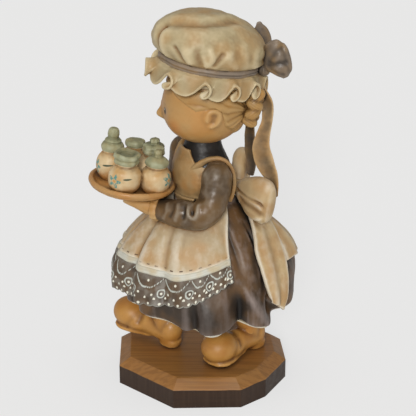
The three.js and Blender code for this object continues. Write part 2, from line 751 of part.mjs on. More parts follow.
function addHand(torso, side, cuff) {
  const soft = 0.7;
  const body = [[0, 0], [cuffRadius - soft, 0], [cuffRadius, soft], [cuffRadius, cuffLength - soft]];
  const profile = [...body, [cuffRadius - soft, cuffLength], [0, cuffLength]];
  const roll = turned(profile, 18).translate(0, 0, -cuffLength / 2);
  const heading = rad(cuff.heading);
  add(torso, "cuff_" + side, stains.skin, roll, cuff.at, [Math.PI / 2, 0, heading + Math.PI / 2, "ZXY"]);
  const [x, y, z] = cuff.at;
  const sections = handSections.map(({ reach, width, depth }) => {
    const rise = (handRise * reach) / handSections.at(-1).reach;
    return { at: [x + reach * Math.cos(heading), y + reach * Math.sin(heading), z + rise], width, depth };
  });
  const across = [-Math.sin(heading), Math.cos(heading), 0];
  add(torso, "hand_" + side, stains.skin, sweep(sections, across, 10, 6));
}

// Tray with its jars, in the tray's own tilted group
function addTray(torso) {
  const group = new THREE.Group();
  group.position.set(...trayCentre);
  group.rotation.x = rad(trayTilt);
  torso.add(group);
  const inner = trayRadius - trayRimWidth;
  const profile = [
    [0, -trayDepth],
    [0.62 * trayRadius, -trayDepth],
    [0.88 * trayRadius, -0.5 * trayDepth],
    [trayRadius, 0.2 * trayRimHeight],
    [trayRadius, 0.8 * trayRimHeight],
    [trayRadius - trayRimWidth / 2, trayRimHeight],
    [inner, 0.8 * trayRimHeight],
    [trayFloorRadius, 0],
    [0, 0],
  ];
  add(group, "tray", stains.tray, turned(profile, 28));
  jars.forEach(({ at, belly, height, cover, coverHeight }, i) => {
    const number = i + 1;
    add(group, "jar_" + number, stains.jar, jar(belly, height), [...at, clearance]);
    const lid = jarCover(cover, jarNeckShare * belly + coverOverhang, coverHeight);
    add(group, "jar_cover_" + number, stains.cover, lid, [...at, height + 2 * clearance]);
  });
}

function jar(belly, height) {
  const foot = jarFootShare * belly;
  const neck = jarNeckShare * belly;
  const swell = [[0.94 * belly, 0.25 * height], [belly, 0.48 * height], [0.88 * belly, 0.76 * height]];
  return turned([[0, 0], [foot, 0], ...swell, [neck, 0.94 * height], [neck, height], [0, height]], 16);
}

// Cover of a jar: a plain rim with a stepped knob, a cone, a tied cloth, a disc or a dished top
function jarCover(kind, radius, height) {
  const rimHeight = 2;
  const rim = [[0, 0], [0.94 * radius, 0], [radius, 0.4 * rimHeight], [0.94 * radius, 0.9 * rimHeight]];
  const shape = {
    stepped: [[0.8, 0.36], [0.5, 0.5], [0.5, 0.9]],
    cone: [[0.6, 0.5], [0.36, 0.62], [0.34, 0.92]],
    cloth: [[0.96, 0.5], [0.5, 0.66], [0.4, 0.94]],
    disc: [[0.8, 1]],
    open: [[1, 0.6], [0.9, 1], [0.66, 1]],
  }[kind];
  const top = kind === "open" ? 0.6 * height : height;
  const sides = shape.map(([wide, high]) => [wide * radius, high * height]);
  return turned([...rim, ...sides, [0, top]], 14);
}

// Point on the head in a direction from its centre, swelled at the cheeks
function headPoint(direction, outward) {
  const [x, y, z] = direction.toArray();
  const near = (cx, cy, cz, spread) => Math.exp(((x * cx + y * cy + z * cz - 1) * 2) / spread ** 2);
  const cheek = cheekSwell * (near(0.62, -0.64, -0.45, 0.42) + near(-0.62, -0.64, -0.45, 0.42));
  return new THREE.Vector3(
    x * (headHalf[0] + outward + cheek),
    y * (headHalf[1] + outward + cheek),
    z * (headHalf[2] + outward + cheek),
  );
}

function headBall(outward) {
  const ball = new THREE.SphereGeometry(1, headSides, 12).rotateX(Math.PI / 2);
  const place = ball.getAttribute("position");
  for (let i = 0; i < place.count; i++) {
    const point = headPoint(new THREE.Vector3().fromBufferAttribute(place, i).normalize(), outward);
    place.setXYZ(i, point.x, point.y, point.z);
  }
  return ball;
}

const egg = (half, at) => new THREE.SphereGeometry(1, 10, 7).scale(...half).translate(...at);

// Head, hair and plait, in the group of the head
function addHead(head) {
  let skull = solidOf(headBall(0)).add(solidOf(egg(noseHalf, [0, noseSeat - headHalf[1], -noseDrop])));
  for (const side of [1, -1]) {
    const angle = rad(earDepthAngle);
    const at = [side * headHalf[0] * Math.cos(angle), headHalf[1] * Math.sin(angle), -earDrop];
    skull = skull.add(solidOf(egg(earHalf, at)));
  }
  add(head, "head", stains.skin, geometryOf(skull));
  const hairPoint = (outward) => (share, down) => {
    const angle = turn * share;
    const back = smoothstep(Math.sin(angle), -0.9, 0.75);
    const polar = rad(lerp(partingAngle, lerp(hairlineFront, hairlineBack, back), down));
    const [flat, high] = [Math.sin(polar), Math.cos(polar)];
    return headPoint(new THREE.Vector3(flat * Math.cos(angle), flat * Math.sin(angle), high), outward);
  };
  const sheet = slab(headSides, 6, hairPoint(hairGap + hairThickness), hairPoint(hairGap), true);
  add(head, "hair", stains.hair, sheet);
  add(head, "hair_plait", stains.hair, sweep(plait, [1, 0, 0], 10, 8));
}

// Distance that the creases and puffs move a point of the crown outward
function crownReach(point) {
  return crownFolds.reduce((sum, { depth, width, along }) => {
    const corners = along.map((place) => new THREE.Vector3(...place));
    const lines = corners.slice(1).map((corner, i) => new THREE.Line3(corners[i], corner));
    const nearest = lines.map((line) => line.closestPointToPoint(point, true, new THREE.Vector3()));
    const away = Math.min(...nearest.map((place) => place.distanceTo(point)));
    return sum + depth * Math.exp(-((away / width) ** 2));
  }, 0);
}

// Bonnet in its own tilted group
function addBonnet(bonnet) {
  const group = new THREE.Group();
  group.rotation.x = rad(bonnetTilt);
  bonnet.add(group);
  const oval = (radius, angle, height) =>
    new THREE.Vector3(radius * bonnetSideShare * Math.cos(angle), radius * Math.sin(angle), height);
  const bandFace = (radius) => (share, up) => oval(radius, turn * share, ribbonHeight * (up - 0.5));
  const bandInside = coreRadius + clearance;
  const band = slab(crownSides, 1, bandFace(bandInside + ribbonThickness), bandFace(bandInside), true);
  add(group, "bonnet_band", stains.ribbon, band);
  const ledge = 0.02;
  const core = [
    { height: coreBottom, radius: coreBottomRadius },
    { height: frillRings[0].height, radius: coreRadius },
    { height: crownRings[0].height - ledge, radius: coreRadius },
  ];
  const middle = new THREE.Vector3(...crownMiddle);
  const rings = [...core, ...crownRings].map(({ height, radius }) =>
    Array.from({ length: crownSides }, (_, i) => {
      const angle = (turn * i) / crownSides;
      const rise = smoothstep(height, crownRings[0].height, crownRings[2].height);
      const wave = crownWaves.reduce((sum, w) => sum + w.depth * Math.cos(w.count * angle + w.phase), 0);
      const point = oval(radius * (1 + (rise * wave) / coreRadius), angle, height);
      point.y += crownLean * smoothstep(height, crownRings[0].height, crownTop);
      point.y -= crownBackEase * rise * Math.max(0, Math.sin(angle));
      const outward = point.clone().sub(middle).normalize();
      return point.addScaledVector(outward, rise * crownReach(point));
    }),
  );
  const tip = new THREE.Vector3(0, crownLean, crownTop);
  const lid = 0.7;
  rings.push(rings.at(-1).map((point) => point.clone().lerp(tip, lid).setZ(crownTop)));
  add(group, "bonnet_crown", stains.bonnet, loft(rings));
  const waves = frillCrests.length;
  const frill = (outward) => (share, down) => {
    const wave = Math.floor(share * waves) % waves;
    const after = frillCrests[wave + 1] ?? frillCrests[0] + 360;
    const angle = rad(lerp(frillCrests[wave], after, (share * waves) % 1));
    const swing = down * Math.cos(turn * share * waves);
    const place = down * (frillRings.length - 1);
    const low = Math.min(frillRings.length - 2, Math.floor(place));
    const radius = lerp(frillRings[low].radius, frillRings[low + 1].radius, place - low);
    const height = lerp(frillRings[low].height, frillRings[low + 1].height, place - low);
    return oval(radius + frillWaveDepth * swing + outward, angle, height + frillWaveRise * swing + outward);
  };
  const under = -frillThickness / Math.SQRT2;
  const sheet = slab(frillWaveSides * waves, frillRings.length - 1, frill(0), frill(under), true);
  add(group, "bonnet_frill", stains.bonnet, sheet);
}

// Knot and two loops of a bow, each loop wide along its across direction
function addBow(group, prefix, material, knot, left, right) {
  add(group, prefix + "_knot", material, egg([knot.radius, knot.radius, knot.radius], [0, 0, 0]), knot.at);
  add(group, prefix + "_loop_left", material, sweep(left.sections, left.across, 10, 7));
  add(group, prefix + "_loop_right", material, sweep(right.sections, right.across, 10, 7));
}

// Tail of the apron's bow, laid down the skirt
function addApronTail(group, name, sections) {
  const steps = 10;
  const columns = 3;
  const through = (pick) => new THREE.CatmullRomCurve3(sections.map((s) => new THREE.Vector3(...pick(s))));
  const guide = through((s) => [s.angle, s.drop, s.outward]);
  const widths = through((s) => [s.width, 0, 0]);
  const face = (outward) => (share, down) => {
    const middle = guide.getPoint(down);
    const width = widths.getPoint(down).x;
    const radius = skirtPoint(rad(middle.x), middle.y).setZ(0).length();
    const angle = rad(middle.x) + ((share - 0.5) * width) / radius;
    return onSkirt(angle, middle.y, middle.z + outward);
  };
  const half = apronTailThickness / 2;
  add(group, name, stains.apron, slab(columns, steps, face(half), face(-half), false));
}

function nested(parent, position) {
  const group = new THREE.Group();
  group.position.set(...position);
  parent.add(group);
  return group;
}

const figurine = new THREE.Group();
const figure = nested(figurine, [0, 0, baseHeight]);
const torso = nested(figure, [0, 0, waistHeight]);
const head = nested(torso, headCentre);
const bonnet = nested(head, bonnetCentre);
addBase(figure);
addShoe(figure, "shoe_left", leftHeel);
addShoe(figure, "shoe_right", rightHeel);
addLeg(figure, "leg_left", leftHeel);
addLeg(figure, "leg_right", rightHeel);
addSkirt(figure);
addApron(figure);
addNeckDowel(torso);
addHead(head);
addBody(torso);
addTray(torso);
addHand(torso, "left", leftCuff);
addHand(torso, "right", rightCuff);
addSleeve(torso, "sleeve_left", leftArm);
addSleeve(torso, "sleeve_right", rightArm);
addStrap(torso, "pinafore_strap_left", leftArm, 1);
addStrap(torso, "pinafore_strap_right", rightArm, -1);
const apronLeft = { sections: apronLoopLeft, across: [0, 0, 1] };
const apronRight = { sections: apronLoopRight, across: [0, 0, 1] };
addBow(torso, "apron_bow", stains.apron, apronKnot, apronLeft, apronRight);
addApronTail(figure, "apron_bow_tail_left", apronTailLeft);
addApronTail(figure, "apron_bow_tail_right", apronTailRight);
addBonnet(bonnet);
const bonnetLeft = { sections: bonnetLoopLeft, across: [0, 0, 1] };
const bonnetRight = { sections: bonnetLoopRight, across: [0, 1, 0] };
addBow(bonnet, "bonnet_bow", stains.ribbon, bonnetKnot, bonnetLeft, bonnetRight);
add(head, "bonnet_tail_left", stains.ribbon, sweep(tailLeft, [0.3, 1, 0], 8, 12));
add(head, "bonnet_tail_right", stains.ribbon, sweep(tailRight, [0.5, 1, 0], 8, 10));

export default figurine;
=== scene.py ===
"""Dresses the carved child figurine: its carved shapes, its stains and paints, the light and the camera.

Sizes are millimetres in the part's own frame: +Z up, the child walks towards -Y, and +X is the child's left.
A shape becomes metres when the workshop finishes it as a piece.
"""

import logging
import math
from dataclasses import dataclass, field, replace
from enum import Enum
from typing import Callable, Sequence

import bmesh
import bpy
import numpy as np
from mathutils import Matrix, Vector, noise
from mathutils.bvhtree import BVHTree


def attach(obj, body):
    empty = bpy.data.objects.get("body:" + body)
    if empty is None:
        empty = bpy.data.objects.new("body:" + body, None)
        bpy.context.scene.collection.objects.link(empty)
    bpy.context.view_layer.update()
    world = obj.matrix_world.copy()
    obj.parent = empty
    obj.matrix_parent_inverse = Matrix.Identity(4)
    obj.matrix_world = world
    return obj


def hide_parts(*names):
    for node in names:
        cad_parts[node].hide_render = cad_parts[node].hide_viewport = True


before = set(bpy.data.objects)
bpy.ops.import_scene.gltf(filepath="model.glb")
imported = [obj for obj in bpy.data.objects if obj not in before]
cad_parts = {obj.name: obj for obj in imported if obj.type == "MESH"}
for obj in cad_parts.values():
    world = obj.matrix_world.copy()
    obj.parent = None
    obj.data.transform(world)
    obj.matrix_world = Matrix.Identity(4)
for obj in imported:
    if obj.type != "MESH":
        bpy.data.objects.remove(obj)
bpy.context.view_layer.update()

MM = 0.001
TURN = 2 * math.pi
log = logging.getLogger("figurine")

Point = tuple[float, float, float]
Rgb = tuple[int, int, int]
Array = np.ndarray
Shape = bmesh.types.BMesh
Node = bpy.types.Node
Plug = bpy.types.NodeSocket
Surface = Callable[[Array, Array], Array]


def smoothstep(low: float, high: float, value: Array | float) -> Array:
    """Rises softly from 0 at low to 1 at high."""
    share = np.clip((np.asarray(value, float) - low) / (high - low), 0, 1)
    return share * share * (3 - 2 * share)


def mixed(first: Array | float, second: Array | float, share: Array | float) -> Array:
    """The value at a share of the way from first to second."""
    return first + (second - first) * np.asarray(share, float)


def through(rows: Sequence[Sequence[float]], share: Array | float) -> Array:
    """Smooth curve through rows of numbers.

    Args:
        rows: the values passed through, at even shares from 0 to 1.
        share: where on the curve, 0 to 1.

    Returns:
        One row for each share.
    """
    points = np.asarray(rows, float)
    last = len(points) - 1
    place = np.clip(np.atleast_1d(share), 0, 1) * last
    index = np.minimum(place.astype(int), last - 1)
    t = (place - index)[:, None]
    before, here = points[np.maximum(index - 1, 0)], points[index]
    there, after = points[index + 1], points[np.minimum(index + 2, last)]
    square = 2 * before - 5 * here + 4 * there - after
    cube = 3 * here - before - 3 * there + after
    return 0.5 * (2 * here + (there - before) * t + square * t**2 + cube * t**3)


def turned_about_z(points: Array, degrees: float) -> Array:
    """Points turned about Z."""
    c, s = math.cos(math.radians(degrees)), math.sin(math.radians(degrees))
    return points @ np.array([[c, s, 0], [-s, c, 0], [0, 0, 1]])


def tilted_about_x(points: Array, degrees: float) -> Array:
    """Points turned about X."""
    c, s = math.cos(math.radians(degrees)), math.sin(math.radians(degrees))
    return points @ np.array([[1, 0, 0], [0, c, s], [0, -s, c]])


def tilted_about_y(points: Array, degrees: float) -> Array:
    """Points turned about Y."""
    c, s = math.cos(math.radians(degrees)), math.sin(math.radians(degrees))
    return points @ np.array([[c, 0, -s], [0, 1, 0], [s, 0, c]])


# Shapes


def coordinates(shape: Shape) -> Array:
    """The places of a shape's vertices."""
    return np.array([v.co[:] for v in shape.verts], float)


def moved(shape: Shape, change: Callable[[Array], Array]) -> Shape:
    """A shape whose vertices are moved by a function of all their places."""
    for vertex, place in zip(shape.verts, change(coordinates(shape))):
        vertex.co = place
    return shape


def held_above(shape: Shape, floor: float) -> Shape:
    """A shape flattened where it would reach below a height."""
    return moved(shape, lambda p: np.column_stack([p[:, :2], np.maximum(p[:, 2], floor)]))


def swollen(points: Array, lobes: Sequence[tuple[float, float, float]]) -> Array:
    """Points moved out from Z and in again all round it.

    Args:
        points: what is moved.
        lobes: rows of amount, count and phase.

    Returns:
        The moved points.
    """
    angle = np.arctan2(points[:, 1], points[:, 0])
    swell = 1
    for amount, count, phase in lobes:
        swell = swell + amount * np.cos(count * angle + phase)
    return points * np.column_stack([swell, swell, np.ones(len(points))])


def welded(shape: Shape) -> Shape:
    """A shape with its doubles merged and its faces turned out."""
    bmesh.ops.remove_doubles(shape, verts=shape.verts[:], dist=1e-4)
    bmesh.ops.recalc_face_normals(shape, faces=shape.faces[:])
    return shape


def skin(columns: int, rows: int, surface: Surface) -> Shape:
    """Closed shape from a grid laid over a surface whose seams and poles meet.

    Args:
        columns: faces across.
        rows: faces along.
        surface: place of each point from its two shares, 0 to 1.

    Returns:
        The welded shape.
    """
    shape = bmesh.new()
    bmesh.ops.create_grid(shape, x_segments=columns, y_segments=rows, size=1)
    moved(shape, lambda flat: surface((flat[:, 0] + 1) / 2, (flat[:, 1] + 1) / 2))
    return welded(shape)


def rod(
    path: Sequence[Sequence[float]],
    across: Point,
    sides: int = 48,
    steps: int = 80,
    end: float = 1.0,
    square: float = 1.0,
    cup: float = 0.0,
) -> Shape:
    """Rounded form swept along a path.

    Args:
        path: rows of x, y, z, width and depth.
        across: direction of the width.
        sides: faces round it.
        steps: faces along it.
        end: how far each rounded end reaches past the path.
        square: 1 for an oval section, less for a boxy one.
        cup: how far the middle of the width is pushed along the depth.

    Returns:
        The closed shape.
    """
    rows = np.asarray(path, float)
    cap = 0.09

    def surface(u: Array, v: Array) -> Array:
        """Places on the rod from the shares round and along it."""
        share = np.clip((v - cap) / (1 - 2 * cap), 0, 1)
        from_end = np.clip(np.minimum(v, 1 - v) / cap, 0, 1)
        shrink = np.sqrt(np.clip(1 - (1 - from_end) ** 2, 0, 1))
        reach = end * (1 - from_end) * np.sign(v - 0.5)
        row = through(rows, share)
        along = through(rows, share + 1e-3)[:, :3] - through(rows, share - 1e-3)[:, :3]
        along /= np.linalg.norm(along, axis=1)[:, None]
        wide = np.asarray(across, float) - along * (along @ np.asarray(across, float))[:, None]
        wide /= np.linalg.norm(wide, axis=1)[:, None]
        deep = np.cross(along, wide)
        c, s = np.cos(TURN * u), np.sin(TURN * u)
        c, s = np.sign(c) * np.abs(c) ** square, np.sign(s) * np.abs(s) ** square
        bend = cup * (c**2 - 0.5) * shrink
        return (
            row[:, :3]
            + along * reach[:, None]
            + wide * (row[:, 3] / 2 * c * shrink)[:, None]
            + deep * (row[:, 4] / 2 * s * shrink + bend)[:, None]
        )

    return skin(sides, steps, surface)


def plate(
    columns: int,
    rows: int,
    surface: Surface,
    thickness: float,
    length: float,
    closed: bool = False,
) -> Shape:
    """Sheet with thickness and rounded edges, with its two shares kept as a UV map.

    Args:
        columns: faces across.
        rows: faces down each side.
        surface: middle of the sheet from its two shares, 0 to 1.
        thickness: of the sheet.
        length: of the sheet down its second share.
        closed: whether the sheet closes on itself across.

    Returns:
        The closed shape.
    """
    rim = 5
    edge = thickness / 2 / length
    down = np.linspace(edge, 1 - edge, rows + 1)
    arc = np.linspace(0, math.pi, rim + 1)[1:-1]
    turn = edge * np.sin(arc)
    shares = np.concatenate([down, 1 - edge + turn, down[::-1], edge - turn, down[:1]])
    heights = np.concatenate([np.ones(rows + 1), np.cos(arc), -np.ones(rows + 1), -np.cos(arc), np.ones(1)])
    shape = bmesh.new()
    bmesh.ops.create_grid(shape, x_segments=columns, y_segments=len(shares) - 1, size=1)
    flat = coordinates(shape)
    u = (flat[:, 0] + 1) / 2
    index = np.rint((flat[:, 1] + 1) / 2 * (len(shares) - 1)).astype(int)
    w, height = shares[index], heights[index]
    tiny = 1e-3
    if closed:
        side = surface((u + tiny) % 1, w) - surface((u - tiny) % 1, w)
    else:
        side = surface(np.clip(u + tiny, 0, 1), w) - surface(np.clip(u - tiny, 0, 1), w)
        height = height * np.sqrt(1 - (1 - np.clip(np.minimum(u, 1 - u) * columns / 3, 0, 1)) ** 2)
    normal = np.cross(side, surface(u, np.clip(w + tiny, 0, 1)) - surface(u, np.clip(w - tiny, 0, 1)))
    normal /= np.maximum(np.linalg.norm(normal, axis=1), 1e-9)[:, None]
    places = surface(u % 1 if closed else u, w) + normal * (height * thickness / 2)[:, None]
    layer = shape.loops.layers.uv.new("UVMap")
    for face in shape.faces:
        for loop in face.loops:
            at = loop.vert.index
            loop[layer].uv = (u[at], w[at])
    moved(shape, lambda _: places)
    return welded(shape)


def turned(profile: Sequence[tuple[float, float]], sides: int = 96, smooth: int = 60) -> Shape:
    """Shape spun about Z from a profile of radius and height that starts and ends on the axis."""
    rows = through(profile, np.linspace(0, 1, smooth))
    rows[:, 0] = np.maximum(rows[:, 0], 0)
    shape = bmesh.new()
    verts = [shape.verts.new((radius, 0, height)) for radius, height in rows]
    edges = [shape.edges.new(pair) for pair in zip(verts, verts[1:])]
    axis = {"cent": (0, 0, 0), "axis": (0, 0, 1), "angle": TURN, "steps": sides, "use_merge": True}
    bmesh.ops.spin(shape, geom=verts + edges, **axis)
    return welded(shape)


def ball(centre: Point, half: Point, fineness: int = 4) -> Shape:
    """Egg shape with three half sizes."""
    shape = bmesh.new()
    bmesh.ops.create_icosphere(shape, subdivisions=fineness, radius=1)
    return moved(shape, lambda flat: flat * np.array(half) + np.array(centre))


def joined(shapes: Sequence[Shape], voxel: float, rounds: int = 3) -> Shape:
    """Several shapes carved as one: remeshed together and smoothed.

    Args:
        shapes: what is joined.
        voxel: size of the new faces.
        rounds: how many times it is smoothed.

    Returns:
        The one closed shape.
    """
    mesh = bpy.data.meshes.new("joined")
    both = bmesh.new()
    for shape in shapes:
        shape.to_mesh(mesh)
        shape.free()
        both.from_mesh(mesh)
    both.to_mesh(mesh)
    both.free()
    holder = bpy.data.objects.new("joined", mesh)
    bpy.context.scene.collection.objects.link(holder)
    remesh = holder.modifiers.new("remesh", "REMESH")
    remesh.mode = "VOXEL"
    remesh.voxel_size = voxel
    graph = bpy.context.evaluated_depsgraph_get()
    result = bpy.data.meshes.new_from_object(holder.evaluated_get(graph))
    one = bmesh.new()
    one.from_mesh(result)
    axes = {"use_axis_x": True, "use_axis_y": True, "use_axis_z": True}
    for _ in range(rounds):
        bmesh.ops.smooth_vert(one, verts=one.verts[:], factor=0.5, **axes)
    bpy.data.objects.remove(holder)
    bpy.data.meshes.remove(mesh)
    bpy.data.meshes.remove(result)
    return welded(one)


@dataclass(frozen=True)
class Stroke:
    """A gouge stroke along a path: below zero it cuts a groove, above zero it leaves a ridge."""

    path: Sequence[Point]
    width: float
    depth: float

    def relief(self, points: Array) -> Array:
        """How far the stroke moves each point along its normal."""
        corners = np.asarray(self.path, float)
        near = np.linalg.norm(points - corners[0], axis=1)
        for start, stop in zip(corners, corners[1:]):
            along = stop - start
            share = np.clip((points - start) @ along / (along @ along), 0, 1)
            near = np.minimum(near, np.linalg.norm(points - start - share[:, None] * along, axis=1))
        return self.depth * np.exp(-((near / self.width) ** 2))


def curve(points: Sequence[Point], count: int = 10) -> list[Point]:
    """A smooth path through a few points, for a stroke."""
    return [tuple(row) for row in through(points, np.linspace(0, 1, count))]


def crease(points: Sequence[Point], width: float, depth: float) -> Stroke:
    """A stroke along a smooth path."""
    return Stroke(curve(points), width, depth)


# Stains and paints


def linear(rgb: Rgb) -> tuple[float, float, float, float]:
    """Scene colour from 0 to 255 screen values."""
    parts = [c / 255 for c in rgb]
    return (*[c / 12.92 if c <= 0.04045 else ((c + 0.055) / 1.055) ** 2.4 for c in parts], 1.0)


@dataclass(frozen=True, eq=False)
class Value:
    """A number that a node puts out; each sign of arithmetic on it adds a math node."""

    graph: "Graph"
    socket: Plug

    def __add__(self, other: object) -> "Value":
        """Sum."""
        return self.graph.math("ADD", self, other)

    def __sub__(self, other: object) -> "Value":
        """Difference."""
        return self.graph.math("SUBTRACT", self, other)

    def __rsub__(self, other: object) -> "Value":
        """Difference from a plain number."""
        return self.graph.math("SUBTRACT", other, self)

    def __mul__(self, other: object) -> "Value":
        """Product."""
        return self.graph.math("MULTIPLY", self, other)

    def __truediv__(self, other: object) -> "Value":
        """Quotient."""
        return self.graph.math("DIVIDE", self, other)

    def __abs__(self) -> "Value":
        """Size without its sign."""
        return self.graph.math("ABSOLUTE", self)

    def held(self) -> "Value":
        """The same number, held between 0 and 1."""
        self.socket.node.use_clamp = True
        return self


@dataclass
class Graph:
    """A short way to write the nodes of one tree."""

    tree: bpy.types.NodeTree

    def node(self, kind: str, settings: dict | None = None, **sockets) -> Node:
        """A node with its settings, and its sockets by name."""
        made = self.tree.nodes.new(kind)
        for key, value in (settings or {}).items():
            setattr(made, key, value)
        for key, value in sockets.items():
            self.plug(made.inputs[key.replace("_", " ")], value)
        return made

    def plug(self, socket: Plug, value: object) -> None:
        """Links a socket, or sets it."""
        source = value.socket if isinstance(value, Value) else value
        if isinstance(source, Plug):
            self.tree.links.new(source, socket)
        else:
            socket.default_value = source

    def fill(self, made: Node, values: Sequence[object]) -> Node:
        """A node whose first sockets get values in their order."""
        for socket, value in zip(made.inputs, values):
            self.plug(socket, value)
        return made

    def math(self, operation: str, *values: object) -> Value:
        """One step of arithmetic."""
        made = self.node("ShaderNodeMath", {"operation": operation})
        return Value(self, self.fill(made, values).outputs[0])

    def mix(self, share: object, first: object, second: object) -> Plug:
        """A colour between two."""
        made = self.node("ShaderNodeMix", {"data_type": "RGBA"})
        for index, value in zip((0, 6, 7), (share, first, second)):
            self.plug(made.inputs[index], value)
        return made.outputs[2]

    def ramp(self, value: object, low: float, high: float, start: float = 0, stop: float = 1) -> Value:
        """A value carried softly from one range to another."""
        made = self.node("ShaderNodeMapRange", {"interpolation_type": "SMOOTHSTEP"})
        return Value(self, self.fill(made, (value, low, high, start, stop)).outputs[0])

    def speckle(self, vector: object, scale: object, detail: float = 2) -> Value:
        """Noise from 0 to 1."""
        made = self.node("ShaderNodeTexNoise", Vector=vector, Scale=scale, Detail=detail)
        return Value(self, made.outputs[0])

    def attribute(self, name: str) -> Value:
        """A number kept on the mesh."""
        return Value(self, self.node("ShaderNodeAttribute", {"attribute_name": name}).outputs["Fac"])

    def place(
        self, location: Point = (0, 0, 0), rotation: Point = (0, 0, 0), scale: Point = (1, 1, 1)
    ) -> Plug:
        """Object coordinates moved, turned and scaled, as a texture is."""
        source = self.node("ShaderNodeTexCoord").outputs["Object"]
        made = self.node("ShaderNodeMapping", {"vector_type": "TEXTURE"}, Vector=source)
        for name, value in (("Location", location), ("Rotation", rotation), ("Scale", scale)):
            made.inputs[name].default_value = value
        return made.outputs[0]

    def split(self, vector: object) -> list[Value]:
        """The three numbers of a vector."""
        return [Value(self, socket) for socket in self.node("ShaderNodeSeparateXYZ", Vector=vector).outputs]

    def height(self) -> Value:
        """Millimetres above the underside of the base."""
        return self.split(self.place(scale=(MM, MM, MM)))[2]

    def shares(self) -> list[Value]:
        """The two shares across and down a sheet, from its UV map."""
        return self.split(self.node("ShaderNodeTexCoord").outputs["UV"])[:2]

    def distance(self, across: Value, along: Value) -> Value:
        """How far a point is from the origin, from its two coordinates."""
        return self.math("SQRT", across * across + along * along)

    def group(self, tree: bpy.types.NodeTree, **sockets) -> bpy.types.bpy_prop_collection:
        """The outputs of a node group placed here."""
        return self.node("ShaderNodeGroup", {"node_tree": tree}, **sockets).outputs

    def blend(self, share: object, first: Node, second: Node) -> Plug:
        """A shader between two."""
        made = self.node("ShaderNodeMixShader")
        return self.fill(made, (share, first.outputs[0], second.outputs[0])).outputs[0]


class Socket(Enum):
    """Kinds of group socket."""

    COLOUR = "NodeSocketColor"
    NUMBER = "NodeSocketFloat"
    VECTOR = "NodeSocketVector"


